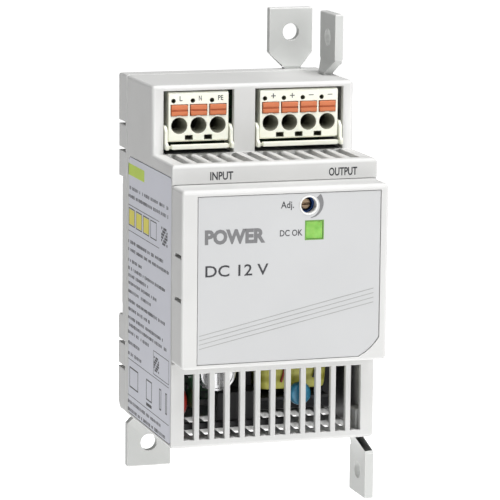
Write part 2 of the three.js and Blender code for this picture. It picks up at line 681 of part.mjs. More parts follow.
function placeTransformer() {
  const low = CORE_Z - CORE_HEIGHT / 2;
  const high = CORE_Z + CORE_HEIGHT / 2;
  const windowLow = low + CORE_YOKE;
  const windowHigh = high - CORE_YOKE;
  const leg = 3.7;
  const outerLeg = 3.2;
  let core = block(CORE_X - CORE_HALF, CORE_X + CORE_HALF, CORE_FRONT, CORE_BACK, low, high);
  for (const side of [-1, 1]) {
    const near = CORE_X + side * leg;
    const far = CORE_X + side * (CORE_HALF - outerLeg);
    core = cut(core, block(Math.min(near, far), Math.max(near, far), CORE_FRONT - 1, CORE_BACK + 1,
      windowLow, windowHigh));
  }
  place(supply, "transformer_core", core, ferrite);

  // The bobbin: a tube on the middle leg, two flanges and a row of feet on the board.
  const tube = leg + GAP;
  const wall = 0.8;
  const bobbinSide = CORE_HALF - outerLeg - GAP;
  const front = CORE_FRONT - 6;
  const back = CORE_BACK + 6;
  const flangeLow = windowLow + GAP;
  const flangeHigh = windowHigh - GAP;
  const flange = (z0) => block(CORE_X - bobbinSide, CORE_X + bobbinSide, front, back, z0, z0 + wall);
  const feet = (z0, z1) => block(CORE_X - bobbinSide, CORE_X + bobbinSide, CORE_BACK + 1.2,
    BOARD_FACE - GAP, z0, z1);
  const spool = join(
    block(CORE_X - tube - wall, CORE_X + tube + wall, CORE_FRONT - GAP - wall, CORE_BACK + GAP + wall,
      flangeLow, flangeHigh),
    flange(flangeLow),
    flange(flangeHigh - wall),
    feet(flangeLow, flangeLow + 2.4),
    feet(flangeHigh - 2.4, flangeHigh),
  );
  const legHole = block(CORE_X - tube, CORE_X + tube, CORE_FRONT - GAP, CORE_BACK + GAP,
    low - 1, high + 1);
  place(supply, "transformer_bobbin", cut(spool, legHole), blackPlastic);

  const inner = tube + wall + GAP;
  const outer = bobbinSide - 0.1;
  const windingLow = flangeLow + 2.4 + GAP;
  const windingHigh = flangeHigh - 2.4 - GAP;
  const corner = 2.2;
  const coil = chamfered(CORE_X - outer, CORE_X + outer, front + 0.4, back - 0.4, corner);
  const winding = cut(
    prism("z", coil, windingLow, windingHigh),
    block(CORE_X - inner, CORE_X + inner, CORE_FRONT - 2 * GAP - wall, CORE_BACK + 2 * GAP + wall,
      windingLow - 1, windingHigh + 1),
  );
  place(supply, "transformer_winding", winding, windingTape);
}

// ---- mains side and output side -----------------------------------------------------------
function pillow(x0, x1, y0, y1, z0, z1, edge) {
  return prism("y", chamfered(x0, x1, z0, z1, edge), y0, y1);
}

// A pressed disc with rounded rims, such as a varistor or a ceramic capacitor, turned about z.
function disc(radius, thickness) {
  const half = thickness / 2;
  return turned([
    [0, -half], [radius - 0.9, -half], [radius, -half + 0.6],
    [radius, half - 0.6], [radius - 0.9, half], [0, half],
  ], 18);
}

const TOWARDS_SIDE = [0, Math.PI / 2, 0];

function placeMainsSide() {
  const face = BOARD_FACE - GAP;
  const ferrule = 2.6;
  const glass = 2.3;
  const fuse = turned([
    [0, 0], [ferrule, 0], [ferrule, 5], [glass, 5], [glass, 15], [ferrule, 15], [ferrule, 20], [0, 20],
  ], 16);
  place(supply, "fuse", fuse, glassTube, [-3, face - 3.5, 21.6], TOWARDS_SIDE);
  place(supply, "varistor", disc(5, 3.6), bluePlastic, [22.2, face - 6.5, 13], TOWARDS_SIDE);
  place(supply, "inrush_limiter", disc(3.6, 2.8), redCoating, [RISER_X - 2, -39.6, -34], TOWARDS_SIDE);
  place(supply, "interference_capacitor", pillow(-17.5, -6, face - 12, face, 16.4, 23.4, 0.6), yellowBox);
  const chokeCore = cut(
    pillow(0.6, 14.6, face - 16, face - 8, -8.6, 4.4, 0.8),
    block(4, 11.2, face - 17, face - 7, -5.2, 1),
  );
  place(supply, "choke_core", chokeCore, ferrite);
  const chokeCoil = cut(
    pillow(0.6 - 2, 4 + 2, face - 18, face - 6, -4.6, 0.4, 1),
    block(0.3, 4.3, face - 16.3, face - 7.7, -6, 2),
  );
  place(supply, "choke_coil", chokeCoil, copperWire);
  place(supply, "bridge_rectifier", pillow(15.6, 19.2, face - 11, face, 4, 17.4, 0.7), blackPlastic);
  place(supply, "bulk_capacitor", can(8, 31), capacitorSleeve, [-10, face, 6.5], TOWARDS_FRONT);
  place(supply, "safety_capacitor", disc(3, 2.4), blueCoating, [8.3, -42.4, -33.2], TOWARDS_FRONT);
  place(supply, "filter_block", filterBlock(), blackPlastic);
}

// Potted line filter: a case low behind the grille, and the long foot bar that carries its leads.
function filterBlock() {
  const low = -40.9;
  const barFront = -43;
  return join(
    block(-13.5, -2.3, barFront + 1, -35.2, low, -32),
    block(-24.6, 4.6, barFront, barFront + 1.8, low, low + 1.6),
  );
}

function placeOutputSide() {
  const face = BOARD_FACE - GAP;
  const fin = join(
    block(22.6, 24, -38, face, -34, 4),
    block(22.6, 24, -38, -11, -42.5, -33),
    ...row(4, 8).map((z) => block(22.6, 25, -38, face - 4, z - 15.6, z - 14.4)),
  );
  place(supply, "heat_sink", fin, bareAluminium);
  const transistor = pillow(18.2, 22.3, face - 18, face - 3, -8.4, 1.8, 0.5);
  place(supply, "switching_transistor", transistor, blackPlastic);
  place(supply, "optocoupler", pillow(-14, -7.4, face - 3.6, face, -14.2, -9.6, 0.4), blackPlastic);
  place(supply, "output_capacitor_1", can(4.5, 20), capacitorSleeve, [7, face, 11.6], TOWARDS_FRONT);
  place(supply, "output_capacitor_2", can(5, 35), capacitorSleeve, [-13.7, face, -26.6], TOWARDS_FRONT);
}

function placeFrontPanelParts() {
  const board = FRONT_BOARD_Y - GAP;
  const face = NOSE_Y + WALL + 0.8 + GAP;
  const body = cut(
    block(ADJUST_X - 3, ADJUST_X + 3, face + 0.3, board, ADJUST_Z - 3, ADJUST_Z + 3),
    rod("y", ADJUST_X, ADJUST_Z, 1.9, face - 1, face + 2.2, 20),
  );
  place(supply, "adjuster_body", body, bluePlastic);
  const rotor = cut(
    turned([[0, 0], [1.55, 0], [1.55, 1.6], [1.25, 1.9], [0, 1.9]], 20),
    block(-2, 2, -0.3, 0.3, 1.1, 3),
  );
  place(supply, "adjuster_rotor", rotor, zincSteel, [ADJUST_X, face + 1.9, ADJUST_Z], TOWARDS_FRONT);
  // A square block centred on the light, from front to back.
  const square = (side, y0, y1) => block(LIGHT_X - side, LIGHT_X + side, y0, y1,
    LIGHT_Z - side, LIGHT_Z + side);
  place(supply, "status_light", square(1, board - 1, board), greenLens);
  const pipe = join(square(LIGHT_SIZE / 2 - 0.15, NOSE_Y + 0.3, board - 1.6), square(2.8, face, face + 1));
  place(supply, "light_window", pipe, greenLens);
}

placePlugs();
placeLugs();
placeBoards();
placeTransformer();
placeMainsSide();
placeOutputSide();
placeFrontPanelParts();
place(supply, "back_shell", backShell(), greyPlastic);
place(supply, "front_housing", frontHousing(), greyPlastic);
place(supply, "front_cover", frontCover(), greyPlastic);
place(supply, "front_overlay", frontOverlay(), overlayFoil);
place(supply, "side_label", prism("x", labelOutline(0), -HALF + 0.02, -HALF + 0.27), labelFoil);
place(supply, "rail_foot", railFoot(), lugPlastic);
place(supply, "foot_spring", footSpring(), springSteel, [0, 2, SPRING_SEAT_Z + GAP / 2]);

export default supply;
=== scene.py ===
# %% [markdown]
# # A compact power supply for the mounting rail
# This lesson dresses a finished mechanical model: a stepped grey housing that snaps on a rail in a
# control cabinet, with two pluggable terminals, cooling slots, and the parts that show through them.
# The model's solids give every size and place. Here each piece gets its real edges, print and finish.

import math

import bmesh
import bpy
from mathutils import Matrix, Vector
from mathutils.geometry import delaunay_2d_cdt


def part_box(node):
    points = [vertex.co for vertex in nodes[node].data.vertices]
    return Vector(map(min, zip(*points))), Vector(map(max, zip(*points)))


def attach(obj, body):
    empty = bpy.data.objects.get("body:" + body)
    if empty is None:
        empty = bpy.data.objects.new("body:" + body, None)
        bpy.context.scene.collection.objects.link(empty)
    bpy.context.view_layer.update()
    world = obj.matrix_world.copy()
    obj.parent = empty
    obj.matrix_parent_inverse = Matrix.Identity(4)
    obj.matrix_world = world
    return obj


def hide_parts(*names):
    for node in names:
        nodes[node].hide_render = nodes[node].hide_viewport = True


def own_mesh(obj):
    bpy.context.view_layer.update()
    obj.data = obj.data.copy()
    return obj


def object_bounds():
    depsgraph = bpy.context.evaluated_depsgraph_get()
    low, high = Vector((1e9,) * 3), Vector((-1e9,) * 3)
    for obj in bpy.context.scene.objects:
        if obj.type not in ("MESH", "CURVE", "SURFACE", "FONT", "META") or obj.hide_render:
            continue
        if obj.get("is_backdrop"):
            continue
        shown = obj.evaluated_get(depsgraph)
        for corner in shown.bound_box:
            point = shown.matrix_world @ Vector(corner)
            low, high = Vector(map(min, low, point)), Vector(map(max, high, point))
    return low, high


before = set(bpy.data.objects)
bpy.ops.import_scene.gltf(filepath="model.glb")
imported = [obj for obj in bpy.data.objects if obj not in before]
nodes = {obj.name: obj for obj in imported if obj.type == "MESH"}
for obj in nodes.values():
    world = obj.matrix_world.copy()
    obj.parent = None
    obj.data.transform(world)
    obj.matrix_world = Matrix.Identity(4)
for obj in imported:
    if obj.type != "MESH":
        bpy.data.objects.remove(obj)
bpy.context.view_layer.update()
MM = 0.001

# %% [markdown]
# ## The camera
# A long lens from a little to the left and a little above keeps the edges nearly parallel, as in a
# catalogue. The aim point is the middle of the housing's side, and a small roll levels the picture.

# %% Camera
AZIMUTH, ELEVATION, ROLL = math.radians(-17.83), math.radians(10.02), math.radians(0.595)
DISTANCE = 0.8119
AIM = Vector((-0.1 * MM, -26 * MM, 1.5 * MM))
back = Vector((math.sin(AZIMUTH) * math.cos(ELEVATION), -math.cos(AZIMUTH) * math.cos(ELEVATION),
               math.sin(ELEVATION)))
camera = bpy.data.objects.new("camera", bpy.data.cameras.new("camera"))
bpy.context.collection.objects.link(camera)
camera.data.sensor_width = 36
camera.data.lens = 226.8
camera.data.clip_start, camera.data.clip_end = 0.05, 20
camera.rotation_mode = "QUATERNION"
camera.location = AIM + back * DISTANCE
aim_turn = (-back).to_track_quat("-Z", "Y").to_matrix()
camera.rotation_quaternion = (aim_turn @ Matrix.Rotation(ROLL, 3, "Z")).to_quaternion()
bpy.context.scene.camera = camera
print("camera at", [round(c, 3) for c in camera.location])

# %% [markdown]
# ## Light and floor
# The housing is pale and matt, so it is lit like porcelain: one large soft panel in front and a
# little to the right, a larger one overhead, and a glowing white floor well below that gives light
# back. To the camera the floor is pure white, but it lights the housing a little less than that. The
# room adds only a little, so the left wall stays a shade darker than the front.

# %% Light and floor
def area_light(name, place, target, size, power):
    light = bpy.data.lights.new(name, "AREA")
    light.energy = power
    light.size = size
    lamp = bpy.data.objects.new(name, light)
    lamp.location = place
    lamp.rotation_mode = "QUATERNION"
    lamp.rotation_quaternion = (Vector(target) - Vector(place)).to_track_quat("-Z", "Y")
    bpy.context.collection.objects.link(lamp)
    return lamp


def node_material(name):
    material = bpy.data.materials.new(name)
    material.use_nodes = True
    tree = material.node_tree
    return material, tree, tree.nodes["Principled BSDF"]


world = bpy.data.worlds.new("studio")
bpy.context.scene.world = world
world.use_nodes = True
world.node_tree.nodes["Background"].inputs["Color"].default_value = (1, 1, 1, 1)
world.node_tree.nodes["Background"].inputs["Strength"].default_value = 0.09
area_light("key_panel", (0.3, -0.95, 0.28), (0, 0, 0), 0.6, 2.9)
area_light("top_panel", (0.12, -0.3, 0.85), (0, 0, 0), 0.8, 10)
bpy.context.scene.view_settings.view_transform = "Standard"

floor_mesh = bpy.data.meshes.new("floor")
floor_half = 4.0
floor_z = -0.2
floor_corners = [(x * floor_half, y * floor_half, floor_z) for x, y in ((-1, -1), (1, -1), (1, 1), (-1, 1))]
floor_mesh.from_pydata(floor_corners, [], [(0, 1, 2, 3)])
floor = bpy.data.objects.new("floor", floor_mesh)
bpy.context.collection.objects.link(floor)
floor_material, floor_tree, floor_shader = node_material("white_floor")
floor_shader.inputs["Base Color"].default_value = (0.98, 0.98, 0.98, 1)
floor_shader.inputs["Roughness"].default_value = 0.9
floor_shader.inputs["Emission Color"].default_value = (1, 1, 1, 1)
seen = floor_tree.nodes.new("ShaderNodeLightPath")
glow = floor_tree.nodes.new("ShaderNodeMapRange")
glow.inputs["To Min"].default_value = 0.62
glow.inputs["To Max"].default_value = 1.0
floor_tree.links.new(seen.outputs["Is Camera Ray"], glow.inputs["Value"])
floor_tree.links.new(glow.outputs["Result"], floor_shader.inputs["Emission Strength"])
floor_mesh.materials.append(floor_material)
floor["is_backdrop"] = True

# %% [markdown]
# ## Moulded plastic
# Injection-moulded housings have a fine spark-eroded texture that scatters the light. Two scales of
# noise drive a tiny bump, a third one shifts the roughness, and a slow one shifts the colour a little.

# %% Plastic
def noise(tree, scale, detail=3, roughness=0.55):
    place = tree.nodes.new("ShaderNodeTexCoord")
    field = tree.nodes.new("ShaderNodeTexNoise")
    field.inputs["Scale"].default_value = scale
    field.inputs["Detail"].default_value = detail
    field.inputs["Roughness"].default_value = roughness
    tree.links.new(place.outputs["Object"], field.inputs["Vector"])
    return field


def ramp(tree, source, low, high, low_at=0.3, high_at=0.7):
    steps = tree.nodes.new("ShaderNodeValToRGB")
    steps.color_ramp.elements[0].position = low_at
    steps.color_ramp.elements[1].position = high_at
    steps.color_ramp.elements[0].color = (*low, 1)
    steps.color_ramp.elements[1].color = (*high, 1)
    tree.links.new(source, steps.inputs["Fac"])
    return steps


def grain(tree, shader, scale, height, detail=2):
    field = noise(tree, scale, detail)
    bump = tree.nodes.new("ShaderNodeBump")
    bump.inputs["Distance"].default_value = height
    bump.inputs["Strength"].default_value = 0.6
    tree.links.new(field.outputs["Fac"], bump.inputs["Height"])
    tree.links.new(bump.outputs["Normal"], shader.inputs["Normal"])
    return bump


def moulded(name, colour, roughness, shift=0.03, scale=2600, height=0.02 * MM, sheen_like=0.35, scatter=0.0):
    material, tree, shader = node_material(name)
    slow = noise(tree, 60, 2)
    low = [c * (1 - shift) for c in colour]
    high = [min(1, c * (1 + shift)) for c in colour]
    tint = ramp(tree, slow.outputs["Fac"], low, high)
    tree.links.new(tint.outputs["Color"], shader.inputs["Base Color"])
    patches = noise(tree, 300, 3)
    spread = tree.nodes.new("ShaderNodeMapRange")
    spread.inputs["To Min"].default_value = roughness - 0.05
    spread.inputs["To Max"].default_value = roughness + 0.05
    tree.links.new(patches.outputs["Fac"], spread.inputs["Value"])
    tree.links.new(spread.outputs["Result"], shader.inputs["Roughness"])
    shader.inputs["Specular IOR Level"].default_value = sheen_like
    if scatter:
        shader.inputs["Subsurface Weight"].default_value = scatter
        shader.inputs["Subsurface Scale"].default_value = 1.0 * MM
        shader.inputs["Subsurface Radius"].default_value = (1.0, 0.8, 0.6)
    grain(tree, shader, scale, height)
    return material


housing_grey = moulded("housing_grey", (0.66, 0.66, 0.65), 0.5)
# The rounded edges get a lighter, smoother grey. It is partly a polish of the mould edges and partly a
# painted highlight where the rounding catches light.
edge_polish_and_highlight = moulded("edge_polish_and_highlight", (0.72, 0.72, 0.71), 0.42)
lug_grey = moulded("lug_grey", (0.6, 0.61, 0.595), 0.45)
terminal_ivory = moulded("terminal_ivory", (0.93, 0.94, 0.82), 0.38, scatter=0.1)
# painted shade for the walls of the terminals' holes
painted_hole_shade = moulded("painted_hole_shade", (0.3, 0.3, 0.24), 0.5)
release_orange = moulded("release_orange", (0.64, 0.19, 0.075), 0.4, scatter=0.05)
foil_grey = moulded("foil_grey", (0.565, 0.57, 0.575), 0.42, shift=0.015, scale=4200, height=0.006 * MM)
label_white = moulded("label_white", (0.66, 0.67, 0.74), 0.4, shift=0.02, scale=1800, height=0.004 * MM)
ink_dark = moulded("ink_dark", (0.045, 0.045, 0.05), 0.5, shift=0.2)
ink_grey = moulded("ink_grey", (0.2, 0.2, 0.205), 0.5, shift=0.1)
ink_line = moulded("ink_line", (0.36, 0.365, 0.36), 0.5, shift=0.08)
ink_lime = moulded("ink_lime", (0.55, 0.72, 0.08), 0.5, shift=0.06)
ink_yellow = moulded("ink_yellow", (0.8, 0.72, 0.1), 0.5, shift=0.06)
collar_white = moulded("collar_white", (0.82, 0.82, 0.8), 0.4)
black_moulding = moulded("black_moulding", (0.022, 0.022, 0.024), 0.42, shift=0.25)
board_blue = moulded("board_blue", (0.03, 0.1, 0.36), 0.38, shift=0.12)
capacitor_yellow = moulded("capacitor_yellow", (0.62, 0.44, 0.05), 0.4, shift=0.08)
print("plastics and inks made")

# %% [markdown]
# ## Metal, coatings and glass
# Drawn and rolled metal shows fine scratches along one direction, so its noise is stretched there.
# Dipped parts have a thick glossy skin with a slow wave in it, and glass needs true transmission.

# %% Metal, coatings and glass
def stretched_noise(tree, scale, detail=3):
    place = tree.nodes.new("ShaderNodeTexCoord")
    turn = tree.nodes.new("ShaderNodeMapping")
    turn.inputs["Scale"].default_value = scale
    field = tree.nodes.new("ShaderNodeTexNoise")
    field.inputs["Scale"].default_value = 1
    field.inputs["Detail"].default_value = detail
    tree.links.new(place.outputs["Object"], turn.inputs["Vector"])
    tree.links.new(turn.outputs["Vector"], field.inputs["Vector"])
    return field


def metal(name, colour, roughness, scratches=(6000, 6000, 400), depth=0.004 * MM):
    material, tree, shader = node_material(name)
    shader.inputs["Metallic"].default_value = 1.0
    streaks = stretched_noise(tree, scratches)
    tint = ramp(tree, streaks.outputs["Fac"], [c * 0.86 for c in colour], [min(1, c * 1.08) for c in colour])
    tree.links.new(tint.outputs["Color"], shader.inputs["Base Color"])
    spread = tree.nodes.new("ShaderNodeMapRange")
    spread.inputs["To Min"].default_value = roughness - 0.08
    spread.inputs["To Max"].default_value = roughness + 0.12
    tree.links.new(streaks.outputs["Fac"], spread.inputs["Value"])
    tree.links.new(spread.outputs["Result"], shader.inputs["Roughness"])
    bump = tree.nodes.new("ShaderNodeBump")
    bump.inputs["Distance"].default_value = depth
    tree.links.new(streaks.outputs["Fac"], bump.inputs["Height"])
    tree.links.new(bump.outputs["Normal"], shader.inputs["Normal"])
    return material


def coated(name, colour, roughness, wave=900, depth=0.03 * MM, coat=0.4):
    material, tree, shader = node_material(name)
    blotch = noise(tree, wave, 2)
    tint = ramp(tree, blotch.outputs["Fac"], [c * 0.8 for c in colour], [min(1, c * 1.15) for c in colour])
    tree.links.new(tint.outputs["Color"], shader.inputs["Base Color"])
    shader.inputs["Roughness"].default_value = roughness
    shader.inputs["Coat Weight"].default_value = coat
    shader.inputs["Coat Roughness"].default_value = 0.12
    grain(tree, shader, wave, depth)
    return material


spring_steel = metal("spring_steel", (0.62, 0.62, 0.63), 0.28)
rotor_bronze = metal("rotor_bronze", (0.3, 0.22, 0.15), 0.38, (2500, 2500, 2500))
zinc_steel = metal("zinc_steel", (0.66, 0.67, 0.7), 0.3, (2500, 2500, 2500))
tinned_pin = metal("tinned_pin", (0.72, 0.72, 0.7), 0.3, (400, 6000, 6000))
can_aluminium = metal("can_aluminium", (0.8, 0.8, 0.81), 0.25, (2500, 2500, 500))
sink_aluminium = metal("sink_aluminium", (0.6, 0.6, 0.61), 0.38, (5000, 300, 5000))
enamelled_copper = metal("enamelled_copper", (0.62, 0.2, 0.07), 0.25, (1500, 1500, 5000))
solder = metal("solder", (0.6, 0.6, 0.6), 0.22, (1500, 1500, 1500))
disc_blue = coated("disc_blue", (0.02, 0.2, 0.34), 0.3)
disc_red = coated("disc_red", (0.42, 0.03, 0.02), 0.32)
varistor_blue = coated("varistor_blue", (0.02, 0.08, 0.38), 0.3)
sleeve_black = coated("sleeve_black", (0.012, 0.014, 0.02), 0.28, 300, 0.01 * MM, 0.5)
core_ferrite = moulded("core_ferrite", (0.03, 0.03, 0.034), 0.6, shift=0.35, scale=5200, height=0.03 * MM)

fuse_glass, glass_tree, glass_shader = node_material("fuse_glass")
glass_shader.inputs["Base Color"].default_value = (0.92, 0.97, 0.96, 1)
glass_shader.inputs["Roughness"].default_value = 0.03
glass_shader.inputs["IOR"].default_value = 1.5
glass_shader.inputs["Transmission Weight"].default_value = 0.9
grain(glass_tree, glass_shader, 400, 0.006 * MM)

lens_green, lens_tree, lens_shader = node_material("lens_green")
lens_glow = ramp(lens_tree, noise(lens_tree, 420, 2).outputs["Fac"], (0.16, 0.43, 0.05), (0.27, 0.56, 0.1))
lens_tree.links.new(lens_glow.outputs["Color"], lens_shader.inputs["Base Color"])
lens_tree.links.new(lens_glow.outputs["Color"], lens_shader.inputs["Emission Color"])
lens_shader.inputs["Emission Strength"].default_value = 0.08
lens_shader.inputs["Roughness"].default_value = 0.22
lens_shader.inputs["Subsurface Weight"].default_value = 0.3
lens_shader.inputs["Subsurface Scale"].default_value = 0.8 * MM
lens_shader.inputs["Coat Weight"].default_value = 0.4
grain(lens_tree, lens_shader, 500, 0.015 * MM)
print("metals, coatings and glass made")

# %% [markdown]
# ## Circuit board and winding tape
# A board is woven glass under green lacquer. Copper tracks under the lacquer look a little lighter
# and stand a little proud, so one mask drives both colour and bump. The polyester tape round the
# transformer is thin enough to show the turns under it, and each lap leaves a fine step.

# %% Board and tape
def board_lacquer(name, scale, low, high):
    material, tree, shader = node_material(name)
    place = tree.nodes.new("ShaderNodeTexCoord")
    tracks = tree.nodes.new("ShaderNodeTexVoronoi")
    tracks.distance = "CHEBYCHEV"
    tracks.feature = "F1"
    tracks.inputs["Scale"].default_value = scale
    tree.links.new(place.outputs["Object"], tracks.inputs["Vector"])
    mask = ramp(tree, tracks.outputs["Distance"], high, low, 0.32, 0.36)
    weave = noise(tree, 3000, 2)
    blend = tree.nodes.new("ShaderNodeMix")
    blend.data_type = "RGBA"
    blend.blend_type = "MULTIPLY"
    blend.inputs["Factor"].default_value = 0.25
    tree.links.new(mask.outputs["Color"], blend.inputs["A"])
    tree.links.new(weave.outputs["Color"], blend.inputs["B"])
    tree.links.new(blend.outputs["Result"], shader.inputs["Base Color"])
    shader.inputs["Roughness"].default_value = 0.35
    shader.inputs["Coat Weight"].default_value = 0.3
    bump = tree.nodes.new("ShaderNodeBump")
    bump.inputs["Distance"].default_value = 0.035 * MM
    tree.links.new(tracks.outputs["Distance"], bump.inputs["Height"])
    tree.links.new(bump.outputs["Normal"], shader.inputs["Normal"])
    return material


board_green = board_lacquer("board_green", 260, (0.012, 0.07, 0.028), (0.03, 0.15, 0.05))

tape_yellow, tape_tree, tape_shader = node_material("tape_yellow")
tape_place = tape_tree.nodes.new("ShaderNodeTexCoord")
laps = tape_tree.nodes.new("ShaderNodeTexWave")
laps.bands_direction = "Z"
laps.inputs["Scale"].default_value = 95
laps.inputs["Distortion"].default_value = 1.2
laps.inputs["Detail"].default_value = 2
tape_tree.links.new(tape_place.outputs["Object"], laps.inputs["Vector"])
tape_tint = ramp(tape_tree, laps.outputs["Fac"], (0.43, 0.41, 0.05), (0.66, 0.64, 0.13), 0.1, 0.8)
tape_tree.links.new(tape_tint.outputs["Color"], tape_shader.inputs["Base Color"])
tape_shader.inputs["Roughness"].default_value = 0.3
tape_bump = tape_tree.nodes.new("ShaderNodeBump")
tape_bump.inputs["Distance"].default_value = 0.05 * MM
tape_tree.links.new(laps.outputs["Fac"], tape_bump.inputs["Height"])
tape_tree.links.new(tape_bump.outputs["Normal"], tape_shader.inputs["Normal"])
print("board and tape made")

# %% [markdown]
# ## Rounded edges
# A mould's outer edges have a generous radius so that the tool lasts, and the slots only a small one.
# The solids are sharp, so each visible shell is a copy with its flat faces merged, and every edge gets
# a bevel that fits the room around it: wide on the outside walls, fine around slots and openings. A
# wide bevel can cross the seams that tie a flat's holes to its rim, so each flat is laid again after it.

# %% Helper: merged and bevelled copy
def span(node):
    """The lowest and highest corners of a node, in millimetres."""
    low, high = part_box(node)
    return low / MM, high / MM


def merged_mesh(name):
    mesh = nodes[name].data.copy()
    form = bmesh.new()
    form.from_mesh(mesh)
    bmesh.ops.remove_doubles(form, verts=form.verts, dist=2e-6)
    bmesh.ops.dissolve_limit(form, angle_limit=math.radians(0.5), verts=form.verts, edges=form.edges)
    return mesh, form


def on_skin(face, skin):
    centre = face.calc_center_median()
    for axis, value in skin:
        if abs(face.normal[axis]) > 0.99 and abs(centre[axis] - value * MM) < 0.05 * MM:
            return True
    return False


def plane_key(face):
    spot = face.verts[0].co.dot(face.normal)
    return tuple(round(c, 2) for c in face.normal) + (round(spot / MM, 1),)


def distance_to(edge, point):
    start, end = edge.verts[0].co, edge.verts[1].co
    along = end - start
    t = max(0, min(1, (point - start).dot(along) / max(along.length_squared, 1e-12)))
    return (start + along * t - point).length


def room_beside(edge, planes):
    start, end = edge.verts[0].co, edge.verts[1].co
    spots = [start.lerp(end, step / 8) for step in range(9)]
    room = 5 * MM
    for face in edge.link_faces:
        for other in planes[plane_key(face)]:
            if other is edge or set(other.verts) & set(edge.verts):
                continue
            room = min(room, min(distance_to(other, spot) for spot in spots))
            room = min(room, min(distance_to(edge, vert.co) for vert in other.verts))
    return room / MM


def room_along(edge, sharp):
    """A bevel slides along the edges that leave its ends, so the shortest of them limits it too."""
    along = (edge.verts[1].co - edge.verts[0].co).normalized()
    lengths = [5.0]
    for vert in edge.verts:
        for other in vert.link_edges:
            across = (other.other_vert(vert).co - vert.co).normalized()
            if other is not edge and abs(across.dot(along)) < 0.86:
                lengths.append(other.calc_length() / MM * (0.45 if other in sharp else 0.9))
    return min(lengths)


def inside(spot, outline):
    """True if a ray to the right of the spot crosses the outline an odd number of times."""
    crossings = 0
    for start, end in outline:
        if (start.y > spot.y) != (end.y > spot.y):
            crossings += spot.x < start.x + (spot.y - start.y) / (end.y - start.y) * (end.x - start.x)
    return crossings % 2 == 1


def flat_region(start):
    region, queue = {start: True}, [start]
    while queue:
        for edge in queue.pop().edges:
            for other in edge.link_faces:
                if other not in region and other.normal.dot(start.normal) > 0.9999:
                    region[other] = True
                    queue.append(other)
    return region


def relay_flat(form, region, start):
    """Lays a flat again from its outline alone."""
    normal, finish = start.normal.copy(), start.material_index
    steepest = max(range(3), key=lambda axis: abs(normal[axis]))
    first, second = [axis for axis in range(3) if axis != steepest]
    edges = [edge for face in region for edge in face.edges]
    rim = [edge for edge in edges if sum(face in region for face in edge.link_faces) == 1]
    verts = list(dict.fromkeys(vert for edge in rim for vert in edge.verts))
    index = {vert: i for i, vert in enumerate(verts)}
    spots = [Vector((vert.co[first], vert.co[second])) / MM for vert in verts]
    pairs = [(index[edge.verts[0]], index[edge.verts[1]]) for edge in rim]
    _, _, triangles, origins, _, _ = delaunay_2d_cdt(spots, pairs, [], 0, 1e-6)
    outline = [(spots[a], spots[b]) for a, b in pairs]
    bmesh.ops.delete(form, geom=list(region), context="FACES")
    for triangle in triangles:
        if not all(origins[i] for i in triangle):
            continue
        corners = [origins[i][0] for i in triangle]
        if inside((spots[corners[0]] + spots[corners[1]] + spots[corners[2]]) / 3, outline):
            face = form.faces.new([verts[i] for i in corners])
            face.normal_update()
            if face.normal.dot(normal) < 0:
                face.normal_flip()
            face.material_index = finish
            face.smooth = True


def settle_bevel(piece):
    """Makes the bevel real, and lays the flats again, as a wide bevel can cross the seams inside a flat."""
    ready = piece.evaluated_get(bpy.context.evaluated_depsgraph_get())
    mesh = bpy.data.meshes.new_from_object(ready)
    piece.modifiers.clear()
    form = bmesh.new()
    form.from_mesh(mesh)
    form.normal_update()
    for start in [face for face in form.faces if len(face.verts) > 4]:
        if start.is_valid:
            relay_flat(form, flat_region(start), start)
    form.to_mesh(mesh)
    form.free()
    piece.data = mesh
    weighted = piece.modifiers.new("normals", "WEIGHTED_NORMAL")
    weighted.keep_sharp = True
    return piece


def softened(name, skin=(), outer=0.8, inner=0.25, segments=3, material=None, suffix="shell", special=None,
             polish_highlight_material=None):
    mesh, form = merged_mesh(name)
    weight = form.edges.layers.float.new("bevel_weight_edge")
    sharp = [e for e in form.edges if len(e.link_faces) == 2 and e.calc_face_angle(0) > math.radians(25)]
    planes = {}
    for edge in sharp:
        for face in edge.link_faces:
            planes.setdefault(plane_key(face), []).append(edge)
    sharp_set = set(sharp)
    for edge in sharp:
        edge.smooth = False
        if not edge.is_convex:
            continue
        room = room_beside(edge, planes)
        if all(on_skin(face, skin) for face in edge.link_faces):
            width = min(outer, 0.7 * room)
        else:
            wanted = special((edge.verts[0].co + edge.verts[1].co) / 2 / MM) if special else None
            width = min(wanted or inner, (0.36 if wanted else 0.2) * room)
        edge[weight] = min(width, room_along(edge, sharp_set)) / outer
        edge.smooth = True
    for face in form.faces:
        face.smooth = True
    form.to_mesh(mesh)
    form.free()
    mesh.materials.clear()
    piece = bpy.data.objects.new(f"{name}_{suffix}", mesh)
    bpy.context.collection.objects.link(piece)
    bevel = piece.modifiers.new("edges", "BEVEL")
    bevel.limit_method = "WEIGHT"
    bevel.width = outer * MM
    bevel.segments = segments
    bevel.use_clamp_overlap = False
    bevel.loop_slide = False
    if material:
        mesh.materials.append(material)
    if polish_highlight_material:
        mesh.materials.append(polish_highlight_material)
        # the bevel faces take the lighter grey: partly polish, partly painted highlight
        bevel.material = 1
    return settle_bevel(piece)


def stand_for(piece, node, body):
    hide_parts(node)
    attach(piece, body)
    return piece


# %% Housing shells
TERMINAL_FACE = span("input_plug_body")[0].y - 0.3
LEDGE = 27.4
SHOULDER = span("front_housing")[0].y


def ledge_ribs(middle):
    """The louvres on the wiring ledge are rounded like rods, much more than any other slot."""
    on_ledge = middle.z > LEDGE - 0.2 and SHOULDER + 2.8 < middle.y < TERMINAL_FACE - 0.2
    return 0.6 if on_ledge else None


def outer_walls(node, seam=None, steps=()):
    """The planes of a node's box as (axis, place) pairs, without the seam where the next shell starts."""
    corners = span(node)
    walls = [(axis, corner[axis]) for corner in corners for axis in range(3)]
    if seam is not None:
        walls.remove((1, corners[seam].y))
    return walls + list(steps)


